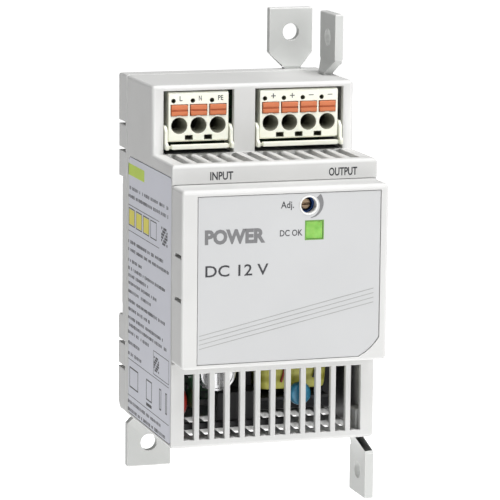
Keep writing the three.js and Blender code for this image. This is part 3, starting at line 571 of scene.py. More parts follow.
housing_skin = outer_walls("front_housing", 1, [(1, TERMINAL_FACE), (2, LEDGE)])
stand_for(softened("front_housing", housing_skin, 0.9, 0.28, 3, housing_grey, special=ledge_ribs,
                   polish_highlight_material=edge_polish_and_highlight), "front_housing", "housing")
stand_for(softened("back_shell", outer_walls("back_shell", 0), 0.9, 0.25, 3, housing_grey,
                   polish_highlight_material=edge_polish_and_highlight), "back_shell", "housing")
stand_for(softened("front_cover", outer_walls("front_cover", 1), 1.1, 0.25, 4, housing_grey,
                   polish_highlight_material=edge_polish_and_highlight), "front_cover", "housing")
print("three shells rounded")

# %% Lugs and foot
LUGS = ("lug_back_top", "lug_back_bottom", "lug_side_top", "lug_side_bottom")
for name in LUGS:
    lug = softened(name, (), 0.6, 0.4, 3, lug_grey, "moulding", polish_highlight_material=edge_polish_and_highlight)
    stand_for(lug, name, name + "_body")
stand_for(softened("rail_foot", (), 0.4, 0.25, 2, lug_grey, "moulding"), "rail_foot", "foot")
print("lugs and foot rounded")

# %% [markdown]
# ## Terminals
# Each terminal is one ivory moulding with an orange release key over every wire funnel and an
# ejector lever hinged round its lower corners. They are the CAD solids with soft mould edges, and the
# walls of their holes are painted a dark colour: painted shade, as hardly any light gets in.

# %% Plugs
PLUGS = {"input": 3, "output": 4}


def paint_hole_shade(piece, node, finish, depth=0.35):
    """Faces well inside the node's box are the walls of its holes; they get a dark colour, painted shade
    where light hardly reaches.
    """
    low, high = span(node)
    piece.data.materials.append(finish)
    for face in piece.data.polygons:
        if all(low[axis] + depth < face.center[axis] / MM < high[axis] - depth for axis in range(3)):
            face.material_index = 1


for side, poles in PLUGS.items():
    body = softened(f"{side}_plug_body", (), 0.4, 0.22, 2, terminal_ivory, "moulding")
    paint_hole_shade(body, f"{side}_plug_body", painted_hole_shade)
    stand_for(body, f"{side}_plug_body", f"{side}_plug")
    lever = softened(f"{side}_lever", (), 0.4, 0.25, 2, terminal_ivory, "moulding")
    stand_for(lever, f"{side}_lever", f"{side}_lever_body")
    for i in range(1, poles + 1):
        key = softened(f"{side}_button_{i}", (), 0.4, 0.3, 2, release_orange, "key")
        stand_for(key, f"{side}_button_{i}", f"{side}_button_body_{i}")
        clamp = softened(f"{side}_clamp_{i}", (), 0.1, 0.08, 2, spring_steel, "strip")
        stand_for(clamp, f"{side}_clamp_{i}", f"{side}_plug")
print("terminals", PLUGS)

# %% [markdown]
# ## Helpers for added pieces
# Small pieces come from four shapes: a block with rounded edges, a turned profile, a bent wire and
# flat lettering. Each is drawn straight in the row frame, so that it never has to be moved.

# %% Helper: from a form to a piece
def settle(piece, body, replace=()):
    if replace:
        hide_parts(*replace)
    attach(piece, body)
    return piece


def mesh_of(name, form, crease=35):
    bmesh.ops.recalc_face_normals(form, faces=form.faces)
    for face in form.faces:
        face.smooth = True
    mesh = bpy.data.meshes.new(name)
    form.to_mesh(mesh)
    form.free()
    mesh.set_sharp_from_angle(angle=math.radians(crease))
    return mesh


def new_piece(name, form, material, body, replace=(), crease=35):
    mesh = mesh_of(name, form, crease)
    mesh.materials.append(material)
    piece = bpy.data.objects.new(name, mesh)
    bpy.context.collection.objects.link(piece)
    return settle(piece, body, replace)


# %% Helper: blocks, turned forms and wires
def block(form, low, high, radius=0.0, segments=2):
    low, high = Vector(low), Vector(high)
    corners = bmesh.ops.create_cube(form, size=1)["verts"]
    for vert in corners:
        for axis in range(3):
            vert.co[axis] = ((low[axis] + high[axis]) / 2 + vert.co[axis] * (high[axis] - low[axis])) * MM
    if radius:
        edges = list({edge for vert in corners for edge in vert.link_edges})
        bmesh.ops.bevel(form, geom=edges, offset=radius * MM, segments=segments, profile=0.5, affect="EDGES")
    return form


AXES = {"x": (1, 2, 0), "y": (2, 0, 1), "z": (0, 1, 2)}


def turn(form, profile, axis, foot, sides=32):
    """Turns (radius, height) steps about an axis through foot. Ends on the axis are closed to a point."""
    first, second, along = AXES[axis]
    rings = []
    for radius, height in profile:
        count = sides if radius > 0 else 1
        ring = []
        for i in range(count):
            angle = 2 * math.pi * i / count
            spot = Vector(foot)
            spot[first] += radius * math.cos(angle)
            spot[second] += radius * math.sin(angle)
            spot[along] += height
            ring.append(form.verts.new(spot * MM))
        rings.append(ring)
    for low, high in zip(rings, rings[1:]):
        for i in range(sides):
            j = i + 1
            corners = [low[i % len(low)], low[j % len(low)], high[j % len(high)], high[i % len(high)]]
            form.faces.new(list(dict.fromkeys(corners)))
    return form


def wire(form, points, radius, sides=10):
    """A round wire along points in millimetres, closed at both ends."""
    points = [Vector(point) for point in points]
    rings = []
    for i, point in enumerate(points):
        ahead = (points[min(i + 1, len(points) - 1)] - points[max(i - 1, 0)]).normalized()
        across = ahead.orthogonal().normalized()
        if rings:
            across = (rings[-1][1] - ahead * rings[-1][1].dot(ahead)).normalized()
        other = ahead.cross(across)
        ring = [form.verts.new((point + (across * math.cos(a) + other * math.sin(a)) * radius) * MM)
                for a in (2 * math.pi * k / sides for k in range(sides))]
        rings.append((ring, across))
    for (low, _), (high, _) in zip(rings, rings[1:]):
        for i in range(sides):
            form.faces.new((low[i], low[(i + 1) % sides], high[(i + 1) % sides], high[i]))
    form.faces.new(rings[0][0])
    form.faces.new(list(reversed(rings[-1][0])))
    return form


def bend(start, middle, end, steps=10):
    """Points of a soft curve from start to end, drawn towards the middle."""
    start, middle, end = Vector(start), Vector(middle), Vector(end)
    shares = [i / steps for i in range(steps + 1)]
    return [start.lerp(middle, share).lerp(middle.lerp(end, share), share) for share in shares]


# %% [markdown]
# ## Helpers that repeat
# Pins, louvres, turns and print bars repeat by a rule, so Geometry Nodes make them: one tree sets a
# form in a row, one winds turns round a leg, one scatters small parts over a board, and one coils a
# spring. Every tree has its sizes as named inputs, the random ones a fixed seed, and ends in a real, finished
# mesh.

# %% Helper: node trees
def new_tree(name, inputs):
    tree = bpy.data.node_groups.new(name, "GeometryNodeTree")
    tree.interface.new_socket("Geometry", in_out="INPUT", socket_type="NodeSocketGeometry")
    for label, kind in inputs.items():
        tree.interface.new_socket(label, in_out="INPUT", socket_type=f"NodeSocket{kind}")
    tree.interface.new_socket("Geometry", in_out="OUTPUT", socket_type="NodeSocketGeometry")
    return tree, tree.nodes.new("NodeGroupInput"), tree.nodes.new("NodeGroupOutput")


def step(tree, kind, links=None, **settings):
    node = tree.nodes.new(kind)
    for key, value in settings.items():
        if key in node.inputs:
            node.inputs[key].default_value = value
        else:
            setattr(node, key, value)
    for key, source in (links or {}).items():
        tree.links.new(source, node.inputs[key])
    return node


def close_tree(tree, given, result, geometry):
    real = step(tree, "GeometryNodeRealizeInstances", {"Geometry": geometry})
    dressed = step(tree, "GeometryNodeSetMaterial",
                   {"Geometry": real.outputs[0], "Material": given.outputs["Finish"]})
    tree.links.new(dressed.outputs[0], result.inputs[0])
    return tree


def grown(name, form, tree, values, material, body, replace=(), crease=35):
    """Runs a tree on a form, keeps the result as a plain mesh, and takes the modifier away."""
    piece = bpy.data.objects.new(name, mesh_of(name + "_seed", form, crease))
    bpy.context.collection.objects.link(piece)
    modifier = piece.modifiers.new("grow", "NODES")
    modifier.node_group = tree
    for item in tree.interface.items_tree:
        if item.in_out == "INPUT" and item.name in values:
            modifier[item.identifier] = values[item.name]
        if item.in_out == "INPUT" and item.name == "Finish":
            modifier[item.identifier] = material
    ready = piece.evaluated_get(bpy.context.evaluated_depsgraph_get())
    mesh = bpy.data.meshes.new_from_object(ready)
    piece.modifiers.clear()
    piece.data = mesh
    mesh.name = name
    print(name, len(mesh.polygons), "faces")
    return settle(piece, body, replace)


# %% Tree: a row
row_tree, given, result = new_tree("row", {"Count": "Int", "Step": "Vector", "Finish": "Material"})
line = step(row_tree, "GeometryNodeMeshLine",
            {"Count": given.outputs["Count"], "Offset": given.outputs["Step"]})
copies = step(row_tree, "GeometryNodeInstanceOnPoints",
              {"Points": line.outputs[0], "Instance": given.outputs["Geometry"]})
close_tree(row_tree, given, result, copies.outputs[0])

# %% Tree: turns round a leg
TURN_INPUTS = {"Width": "Float", "Depth": "Float", "Corner": "Float", "Wire": "Float", "Turns": "Int",
               "Rise": "Vector", "Start": "Vector", "Finish": "Material"}
turns_tree, given, result = new_tree("turns", TURN_INPUTS)
loop = step(turns_tree, "GeometryNodeCurvePrimitiveQuadrilateral",
            {"Width": given.outputs["Width"], "Height": given.outputs["Depth"]})
rounded = step(turns_tree, "GeometryNodeFilletCurve",
               {"Curve": loop.outputs[0], "Radius": given.outputs["Corner"]}, mode="POLY", Count=5)
section = step(turns_tree, "GeometryNodeCurvePrimitiveCircle", {"Radius": given.outputs["Wire"]},
               Resolution=8)
ring = step(turns_tree, "GeometryNodeCurveToMesh",
            {"Curve": rounded.outputs[0], "Profile Curve": section.outputs["Curve"]})
stack = step(turns_tree, "GeometryNodeMeshLine",
             {"Count": given.outputs["Turns"], "Offset": given.outputs["Rise"],
              "Start Location": given.outputs["Start"]})
copies = step(turns_tree, "GeometryNodeInstanceOnPoints",
              {"Points": stack.outputs[0], "Instance": ring.outputs[0]})
close_tree(turns_tree, given, result, copies.outputs[0])

# %% Tree: a coil spring
COIL_INPUTS = {"Turns": "Float", "Radius": "Float", "Height": "Float", "Wire": "Float", "Foot": "Vector",
               "Finish": "Material"}
coil_tree, given, result = new_tree("coil", COIL_INPUTS)
helix = step(coil_tree, "GeometryNodeCurveSpiral",
             {"Rotations": given.outputs["Turns"], "Start Radius": given.outputs["Radius"],
              "End Radius": given.outputs["Radius"], "Height": given.outputs["Height"]}, Resolution=28)
section = step(coil_tree, "GeometryNodeCurvePrimitiveCircle", {"Radius": given.outputs["Wire"]},
               Resolution=10)
spun = step(coil_tree, "GeometryNodeCurveToMesh",
            {"Curve": helix.outputs[0], "Profile Curve": section.outputs["Curve"]})
spun.inputs["Fill Caps"].default_value = True
moved = step(coil_tree, "GeometryNodeTransform",
             {"Geometry": spun.outputs[0], "Translation": given.outputs["Foot"]})
close_tree(coil_tree, given, result, moved.outputs[0])

# %% Tree: small parts on a board
PART_INPUTS = {"Distance": "Float", "Density": "Float", "Seed": "Int", "Size": "Vector", "Finish": "Material"}
parts_tree, given, result = new_tree("parts", PART_INPUTS)
spots = step(parts_tree, "GeometryNodeDistributePointsOnFaces",
             {"Mesh": given.outputs["Geometry"], "Distance Min": given.outputs["Distance"],
              "Density Max": given.outputs["Density"], "Seed": given.outputs["Seed"]},
             distribute_method="POISSON")
chip = step(parts_tree, "GeometryNodeMeshCube", {"Size": given.outputs["Size"]})
quarter = step(parts_tree, "FunctionNodeRandomValue", {"Seed": given.outputs["Seed"]}, data_type="INT")
quarter.inputs[4].default_value = 0
quarter.inputs[5].default_value = 1
angle = step(parts_tree, "ShaderNodeMath", {0: quarter.outputs[2]}, operation="MULTIPLY")
angle.inputs[1].default_value = math.pi / 2
spin = step(parts_tree, "ShaderNodeCombineXYZ", {"Y": angle.outputs[0]})
grow = step(parts_tree, "FunctionNodeRandomValue", {"Seed": given.outputs["Seed"]}, data_type="FLOAT")
grow.inputs[2].default_value = 0.65
grow.inputs[3].default_value = 1.25
copies = step(parts_tree, "GeometryNodeInstanceOnPoints",
              {"Points": spots.outputs["Points"], "Instance": chip.outputs["Mesh"],
               "Rotation": spin.outputs[0], "Scale": grow.outputs[1]})
close_tree(parts_tree, given, result, copies.outputs[0])

# %% Tree: lines of small print
PRINT_INPUTS = {"Lines": "Int", "Line Step": "Vector", "Words": "Int", "Word Step": "Vector",
                "Start": "Vector", "Bar": "Vector", "Seed": "Int", "Finish": "Material"}
print_tree, given, result = new_tree("small_print", PRINT_INPUTS)
lines = step(print_tree, "GeometryNodeMeshLine",
             {"Count": given.outputs["Lines"], "Offset": given.outputs["Line Step"],
              "Start Location": given.outputs["Start"]})
words = step(print_tree, "GeometryNodeMeshLine",
             {"Count": given.outputs["Words"], "Offset": given.outputs["Word Step"]})
page = step(print_tree, "GeometryNodeInstanceOnPoints",
            {"Points": lines.outputs[0], "Instance": words.outputs[0]})
spots = step(print_tree, "GeometryNodeRealizeInstances", {"Geometry": page.outputs[0]})
bar = step(print_tree, "GeometryNodeMeshCube", {"Size": given.outputs["Bar"]})
width = step(print_tree, "FunctionNodeRandomValue", {"Seed": given.outputs["Seed"]}, data_type="FLOAT_VECTOR")
width.inputs[0].default_value = (1, 0.45, 0.7)
width.inputs[1].default_value = (1, 1.0, 1.0)
kept = step(print_tree, "FunctionNodeRandomValue", {"Seed": given.outputs["Seed"]}, data_type="BOOLEAN")
kept.inputs["Probability"].default_value = 0.87
copies = step(print_tree, "GeometryNodeInstanceOnPoints",
              {"Points": spots.outputs[0], "Instance": bar.outputs["Mesh"], "Scale": width.outputs[0],
               "Selection": kept.outputs[3]})
close_tree(print_tree, given, result, copies.outputs[0])
print("five trees ready")

# %% [markdown]
# ## Louvres under the wiring ledge
# Each slot in the ledge has a ramp below it, which drops towards the back, so that warm air leaves
# but a strand of wire can't fall straight on the board. One ramp is drawn and set in a row of twelve.
# A thin black sheet lies on the floor of each terminal bay, under the lever: a painted shadow for the deep
# shade there.

# %% Louvre ramps
VENTS, VENT_PITCH, RAMP_WIDTH = 12, 4.04, 2.36
first_vent = -(VENTS - 1) / 2 * VENT_PITCH
form = bmesh.new()
RAMP = [(-43.0, 27.05), (-43.0, 26.55), (-28.9, 23.4), (-28.9, 23.9)]
sides = []
for x in (first_vent - RAMP_WIDTH / 2, first_vent + RAMP_WIDTH / 2):
    sides.append([form.verts.new(Vector((x, y, z)) * MM) for y, z in RAMP])
form.faces.new(sides[0])
form.faces.new(list(reversed(sides[1])))
for i in range(4):
    j = (i + 1) % 4
    form.faces.new((sides[0][j], sides[0][i], sides[1][i], sides[1][j]))
grown("ledge_louvres", form, row_tree, {"Count": VENTS, "Step": (VENT_PITCH * MM, 0, 0)}, housing_grey,
      "housing")
# a black sheet on each bay's floor that stands for its shade: painted shadow
SHADOW_SIDE, SHADOW_FRONT, SHADOW_BACK = 0.6, TERMINAL_FACE + 0.45, -14
for side in PLUGS:
    low, high = span(f"{side}_plug_body")
    shadow_sheet = block(bmesh.new(), (low.x - SHADOW_SIDE, SHADOW_FRONT, LEDGE + 0.02),
                (high.x + SHADOW_SIDE, SHADOW_BACK, LEDGE + 0.25))
    new_piece(f"{side}_bay_painted_shadow", shadow_sheet, black_moulding, "housing")

# %% [markdown]
# ## The printed foil
# The front carries a thin printed foil: two lines of text, a symbol for the adjuster and four fine
# rules. Print is modelled as a hair-thin raised layer, which stays crisp at any distance. The words
# are only generic ones.

# %% Foil print
FOIL_FACE = span("front_overlay")[0].y
INK = 0.03


def flat_form(form, outline, y, thickness=INK):
    """A thin plate with its outline in (x, z), lying on the plane y and standing towards the front."""
    front = [form.verts.new(Vector((x, y - thickness, z)) * MM) for x, z in outline]
    rear = [form.verts.new(Vector((x, y + 0.02, z)) * MM) for x, z in outline]
    form.faces.new(front)
    form.faces.new(list(reversed(rear)))
    for i in range(len(outline)):
        j = (i + 1) % len(outline)
        form.faces.new((front[j], front[i], rear[i], rear[j]))
    return form


def lettering(name, text, left, right, bottom, top, y, material, body, weight=0.0):
    """Sets words so that they just fill a rectangle in (x, z) on the plane y."""
    curve = bpy.data.curves.new(name, "FONT")
    curve.body = text
    curve.extrude = 0.02
    curve.offset = weight
    curve.resolution_u = 3
    source = bpy.data.objects.new(name + "_curve", curve)
    bpy.context.collection.objects.link(source)
    bpy.context.view_layer.update()
    mesh = bpy.data.meshes.new_from_object(source.evaluated_get(bpy.context.evaluated_depsgraph_get()))
    bpy.data.objects.remove(source)
    form = bmesh.new()
    form.from_mesh(mesh)
    bmesh.ops.remove_doubles(form, verts=form.verts, dist=1e-5)
    xs = [vert.co.x for vert in form.verts]
    ys = [vert.co.y for vert in form.verts]
    for vert in form.verts:
        x = left + (vert.co.x - min(xs)) / (max(xs) - min(xs)) * (right - left)
        z = bottom + (vert.co.y - min(ys)) / (max(ys) - min(ys)) * (top - bottom)
        vert.co = Vector((x, y - INK if vert.co.z > 0 else y + 0.02, z)) * MM
    return new_piece(name, form, material, body)


# each word fills left, right, bottom, top on the foil
lettering("print_adjust", "Adj.", -1.4, 2.0, 16.4, 18.7, FOIL_FACE, ink_dark, "housing", 0.01)
lettering("print_dc_ok", "DC OK", -1.6, 4.3, 9.9, 11.5, FOIL_FACE, ink_dark, "housing", 0.01)
lettering("print_power", "POWER", -21.1, -5.4, 8.5, 12.3, FOIL_FACE, ink_grey, "housing", 0.05)
lettering("print_rating", "DC 12 V", -20.9, -4.5, 0.4, 3.3, FOIL_FACE, ink_dark, "housing", 0.01)

form = bmesh.new()
RULE_STEP, RULE_THICKNESS = 1.1, 0.17
for i in range(4):
    left_z, right_z = -14.3 - i * RULE_STEP, -4.2 - i * 1.18
    flat_form(form, [(-22.4, left_z - RULE_THICKNESS), (23.4, right_z - RULE_THICKNESS), (23.4, right_z),
                     (-22.4, left_z)], FOIL_FACE)
new_piece("print_rules", form, ink_line, "housing")

# %% Adjuster symbol and collar
rotor_low, rotor_high = span("adjuster_rotor")
adjust = (rotor_low + rotor_high) / 2
form = bmesh.new()
ARC_STEPS = 18
outer_arc, inner_arc = [], []
for i in range(ARC_STEPS + 1):
    share = i / ARC_STEPS
    angle = math.radians(42 - 122 * share)
    reach = 4.15 - 0.85 * share
    thick = 1.25 * (1 - share) + 0.15
    for arc, radius in ((outer_arc, reach), (inner_arc, reach - thick)):
        arc.append((adjust.x + radius * math.cos(angle), adjust.z + radius * math.sin(angle)))
flat_form(form, list(reversed(outer_arc)) + inner_arc, FOIL_FACE)
new_piece("print_adjust_arc", form, ink_grey, "housing")

form = bmesh.new()
COLLAR = [(2.04, 0.5), (2.04, -0.12), (2.14, -0.2), (2.36, -0.2), (2.46, -0.08), (2.46, 0.5), (2.04, 0.5)]
turn(form, COLLAR, "y", (adjust.x, FOIL_FACE, adjust.z), 48)
bmesh.ops.remove_doubles(form, verts=form.verts, dist=1e-7)
new_piece("adjuster_collar", form, collar_white, "housing")
stand_for(softened("adjuster_rotor", (), 0.2, 0.12, 2, rotor_bronze, "screw"), "adjuster_rotor", "adjuster")
stand_for(softened("adjuster_body", (), 0.3, 0.2, 2, board_blue, "case"), "adjuster_body", "housing")

# %% Status light
light_low, light_high = span("light_window")
middle_x, middle_z = (light_low.x + light_high.x) / 2, (light_low.z + light_high.z) / 2
stand_for(softened("light_window", (), 0.3, 0.2, 3, lens_green, "lens"), "light_window", "housing")
nodes["status_light"].data.materials.clear()
nodes["status_light"].data.materials.append(lens_green)
form = bmesh.new()
INSIDE, OUTSIDE = 2.22, 2.5
for x0, x1, z0, z1 in ((-OUTSIDE, -INSIDE, -OUTSIDE, OUTSIDE), (INSIDE, OUTSIDE, -OUTSIDE, OUTSIDE),
                       (-INSIDE, INSIDE, INSIDE, OUTSIDE), (-INSIDE, INSIDE, -OUTSIDE, -INSIDE)):
    flat_form(form, [(middle_x + x0, middle_z + z0), (middle_x + x1, middle_z + z0),
                     (middle_x + x1, middle_z + z1), (middle_x + x0, middle_z + z1)], FOIL_FACE, 0.02)
frame_green = moulded("frame_green", (0.14, 0.3, 0.06), 0.4, shift=0.1)
new_piece("light_frame", form, frame_green, "housing")
print("foil printed")

# %% Words on the shoulder and beside the poles
SIDE_WORDS = {"INPUT": (-17.2, -11.2), "OUTPUT": (14.05, 21.6)}
for word, (left, right) in SIDE_WORDS.items():
    lettering(f"print_{word.lower()}", word, left, right, 23.3, 25.4, SHOULDER, ink_dark, "housing",
              0.022)
POLE_NAMES = {"input": ("L", "N", "PE"), "output": ("+", "+", "−", "−")}
for side, names in POLE_NAMES.items():
    face = span(f"{side}_plug_body")[0].y
    for i, word in enumerate(names, 1):
        low, high = span(f"{side}_button_{i}")
        left = (low.x + high.x) / 2 + 0.05
        tall, wide = (0.62, 0.75) if len(word) == 1 and word.isalpha() else (0.62, 1.35)
        if not word.isalpha():
            tall, wide = (0.62, 1.25) if word == "+" else (0.09, 1.3)
        lettering(f"print_{side}_{i}", word, left, left + wide, 41.5 - tall, 41.5 + tall, face, ink_dark,
                  f"{side}_plug", 0.01 if word.isalpha() else 0)
print("words set")

# %% [markdown]
# ## The side label
# A paper-thin foil label fills the left wall. What matters from a distance is its rhythm of lines,
# boxes and blocks, so bars stand for the words, plain tiles for the symbols, and nothing can be read.

# %% Side label
for name in ("front_overlay", "side_label"):
    nodes[name].data.materials.clear()
nodes["front_overlay"].data.materials.append(foil_grey)
nodes["side_label"].data.materials.append(label_white)
LABEL_OUT, LABEL_IN = -27.0, -26.97


def label_form(form, back_y, front_y, low_z, high_z):
    return block(form, (LABEL_OUT, front_y, low_z), (LABEL_IN, back_y, high_z))


def label_frame(form, back_y, front_y, low_z, high_z, line=0.16):
    label_form(form, back_y, front_y, low_z, low_z + line)
    label_form(form, back_y, front_y, high_z - line, high_z)
    label_form(form, back_y, back_y - line, low_z + line, high_z - line)
    label_form(form, front_y + line, front_y, low_z + line, high_z - line)
    return form


new_piece("label_block", label_form(bmesh.new(), -5.6, -20.7, 19.3, 22.3), ink_lime, "housing")
dark = bmesh.new()
tiles = bmesh.new()
TILE_STEP, TILE_WIDTH, TILE_LOW, TILE_HIGH = 6.8, 5.6, 6.0, 10.7
for i in range(4):
    start = -6.2 - i * TILE_STEP
    label_frame(dark, start, start - TILE_WIDTH, TILE_LOW, TILE_HIGH, 0.26)
    if i < 3:
        label_form(tiles, start - 0.4, start - TILE_WIDTH + 0.4, TILE_LOW + 0.4, TILE_HIGH - 0.4)
new_piece("label_tiles", tiles, ink_yellow, "housing")

for z in (11.4, 4.6, -29.5, -39.2):
    label_form(dark, -5.6, -34.6 if z > 0 else -44.0, z - 0.08, z + 0.08)
label_frame(dark, -29.9, -44.0, -28.8, -22.6)
label_form(dark, -23.4, -28.4, -38.4, -37.6)
CODE_CELLS, CELL = 6, 0.78
for column in range(CODE_CELLS):
    for line in range(CODE_CELLS):
        if (column * 5 + line * 3) % 4:
            for corner_y, corner_z, cell in ((-36.6, 6.0, CELL), (-30.4, -27.8, 0.66)):
                y, z = corner_y - column * cell * 1.2, corner_z + line * cell
                label_form(dark, y, y - cell, z, z + cell * 0.8)
for back_y, front_y in ((-7.4, -15.6), (-23.3, -28.6), (-35.4, -37.2), (-41.0, -42.4)):
    label_frame(dark, back_y, front_y, -36.9, -31.4, 0.35)
new_piece("label_boxes", dark, ink_dark, "housing")

PRINT_START, PRINT_PITCH, PRINT_TALL = -6.2, 0.86, 0.95
# each line's height on the label, and its length
PRINT_LINES = {16.0: 37.0, 13.8: 37.4, 1.8: 33.1, -0.3: 38.6, -3.2: 13.4, -5.3: 35.0, -7.2: 19.7,
               -9.2: 28.0, -11.4: 22.0, -13.9: 35.4, -16.1: 20.7, -18.4: 33.0, -20.3: 36.2, -22.3: 19.8,
               -25.1: 11.3, -28.0: 14.0, -40.9: 31.0, -43.0: 36.0}
for seed, (z, length) in enumerate(PRINT_LINES.items(), 3):
    values = {"Lines": 1, "Line Step": (0, 0, 0), "Words": int(length / PRINT_PITCH),
              "Word Step": (0, -PRINT_PITCH * MM, 0), "Start": (-26.985 * MM, PRINT_START * MM, z * MM),
              "Bar": (0.03 * MM, PRINT_PITCH * 0.78 * MM, PRINT_TALL * MM), "Seed": seed}
    grown(f"label_print_{seed - 2}", bmesh.new(), print_tree, values, ink_dark, "housing")

# %% [markdown]
# ## Foot spring
# The foot under the rail is pushed up by a small coil spring. It is wound from round wire.

# %% Foot spring
spring_low, spring_high = span("foot_spring")
SPRING_WIRE, SPRING_TURNS, FOOT_TRAVEL = 0.28, 6.0, 5.0
height = spring_high.z - spring_low.z - 2 * SPRING_WIRE
middle = (spring_low + spring_high) / 2
values = {"Turns": SPRING_TURNS, "Radius": 1.05 * MM, "Height": height * MM, "Wire": SPRING_WIRE * MM,
          "Foot": (middle.x * MM, middle.y * MM, (spring_low.z + SPRING_WIRE) * MM)}
spring = grown("foot_spring_coil", bmesh.new(), coil_tree, values, spring_steel, "housing",
               ("foot_spring",))
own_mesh(spring)

# %% [markdown]
# ## Circuit boards
# Three boards carry everything: the main board in front of the back wall, a riser on the left and a
# small one behind the nose. Tiny surface-mounted parts are scattered over their free faces.

# %% Boards
for name in ("main_board", "riser_board", "front_board"):
    nodes[name].data.materials.clear()
    nodes[name].data.materials.append(board_green)


def board_face(plane, axis, low, high):
    """A flat patch on one board face, over which the small parts are scattered."""
    form = bmesh.new()
    free = [i for i in range(3) if i != axis]
    corners = []
    for a, b in ((0, 0), (1, 0), (1, 1), (0, 1)):
        spot = Vector((0, 0, 0))
        spot[axis] = plane
        spot[free[0]] = (low, high)[a][free[0]]
        spot[free[1]] = (low, high)[b][free[1]]
        corners.append(form.verts.new(spot * MM))
    form.faces.new(corners)
    return form


riser_low, riser_high = span("riser_board")
board_low, _ = span("main_board")
PATCHES = {
    "riser_left": (0, riser_low.x - 0.2, riser_low, riser_high, (0.5, 1.9, 1.1)),
    "riser_right": (0, riser_high.x + 0.2, riser_low, riser_high, (0.5, 1.9, 1.1)),
    "main_front": (1, board_low.y - 0.2, Vector((-19, 0, -41)), Vector((24, 0, 28)), (1.9, 0.5, 1.1)),
}
for seed, (part, (axis, plane, low, high, size)) in enumerate(PATCHES.items(), 11):
    for kind, material, grow_by in (("chips", black_moulding, 1.0), ("joints", solder, 0.62)):
        values = {"Distance": 3.4 * MM, "Density": 60000.0, "Seed": seed * 7 + len(kind),
                  "Size": tuple(side * MM * grow_by for side in size)}
        margin = Vector((1.5, 1.5, 1.5))
        patch = board_face(plane, axis, low + margin, high - margin)
        grown(f"{part}_{kind}", patch, parts_tree, values, material, "housing")

# %% Board screws and headers
for i in range(1, 5):
    name = f"board_screw_{i}"
    stand_for(softened(name, (), 0.2, 0.12, 2, zinc_steel, "fastener"), name, "housing")
for side, poles in PLUGS.items():
    name = f"{side}_header"
    stand_for(softened(name, (), 0.3, 0.15, 2, black_moulding, "block"), name, "housing")
    first = span(f"{side}_clamp_1")
    second = span(f"{side}_clamp_2")
    pin_x, pitch = (first[0].x + first[1].x) / 2, second[0].x - first[0].x
    header_low, _ = span(name)
    form = block(bmesh.new(), (pin_x - 0.56, header_low.y + 0.3, 32.84),
                 (pin_x + 0.56, header_low.y + 4.6, 33.96), 0.1)
    grown(f"{side}_pins", form, row_tree, {"Count": poles, "Step": (pitch * MM, 0, 0)}, tinned_pin, "housing")
print("boards dressed")

# %% [markdown]
# ## Transformer
# The flat ferrite core clasps a bobbin whose windings are wrapped in polyester tape. The tape bulges
# a little between the flanges, and its last lap ends on the front. Two lead wires run over it.

# %% Transformer
core = softened("transformer_core", (), 0.4, 0.3, 2, core_ferrite, "halves")
stand_for(core, "transformer_core", "housing")
bobbin = softened("transformer_bobbin", (), 0.3, 0.18, 2, black_moulding, "moulding")
stand_for(bobbin, "transformer_bobbin", "housing")
wrap_low, wrap_high = span("transformer_winding")
core_low, core_high = span("transformer_core")


def rounded_outline(low, high, corner, steps=6):
    outline = []
    for x, y, start in ((high.x - corner, high.y - corner, 0), (low.x + corner, high.y - corner, 90),
                        (low.x + corner, low.y + corner, 180), (high.x - corner, low.y + corner, 270)):
        for i in range(steps + 1):
            angle = math.radians(start + 90 * i / steps)
            outline.append((x + corner * math.cos(angle), y + corner * math.sin(angle)))
    return outline


form = bmesh.new()
LAYERS, BULGE = 12, 0.3
rings = []
for i in range(LAYERS + 1):
    share = i / LAYERS
    bulge = BULGE * (math.sin(math.pi * share) - 1) - 0.12 * (i in (0, LAYERS))
    low, high = wrap_low - Vector((bulge, bulge, 0)), wrap_high + Vector((bulge, bulge, 0))
    z = wrap_low.z + (wrap_high.z - wrap_low.z) * share
    rings.append([form.verts.new(Vector((x, y, z)) * MM) for x, y in rounded_outline(low, high, 2.4)])
hole_low = Vector((core_low.x + 8.15, core_low.y - 1.2, 0))
hole_high = Vector((core_high.x - 8.15, core_high.y + 1.2, 0))
hole = rounded_outline(hole_low, hole_high, 0.3)
for z in (wrap_high.z, wrap_low.z):
    rings.append([form.verts.new(Vector((x, y, z)) * MM) for x, y in hole])
rings.append(rings[0])
for lower, upper in zip(rings, rings[1:]):
    count = len(lower)
    for i in range(count):
        form.faces.new((lower[i], lower[(i + 1) % count], upper[(i + 1) % count], upper[i]))
new_piece("transformer_tape", form, tape_yellow, "housing", ("transformer_winding",))
flap = block(bmesh.new(), (wrap_low.x + 4, wrap_low.y - 0.1, wrap_low.z + 0.6),
             (wrap_low.x + 9, wrap_low.y + 0.3, wrap_high.z - 0.5), 0.04)
new_piece("tape_end", flap, tape_yellow, "housing")
lead_red = coated("lead_red", (0.3, 0.02, 0.015), 0.4)
lead_black = coated("lead_black", (0.015, 0.015, 0.015), 0.4)
front = wrap_low.y - 0.55
LEADS = {"lead_red": (lead_red, -3.2, 1.9), "lead_black": (lead_black, 5.4, 2.7)}
for name, (finish, shift, lift) in LEADS.items():
    path = bend((7.5 + shift, front, wrap_high.z - 1), (8.9 + shift, front - 0.2, wrap_high.z - 4),
                (7.1 + shift, front + 0.1, wrap_low.z + lift), 14)
    new_piece(name, wire(bmesh.new(), path, 0.28), finish, "housing")
form = block(bmesh.new(), (wrap_low.x + 1.6, board_low.y - 1.2, wrap_low.z - 2),
             (wrap_low.x + 2.3, board_low.y + 0.4, wrap_low.z - 1.3), 0.1)
grown("bobbin_pins", form, row_tree, {"Count": 6, "Step": (2.5 * MM, 0, 0)}, tinned_pin, "housing")
print("transformer wound")

# %% [markdown]
# ## Capacitors
# An aluminium can sits in a shrunk black sleeve, which curls a little over its top. The bare top is
# scored with a cross, where it opens if it ever fails. The axis of each can comes from its solid.

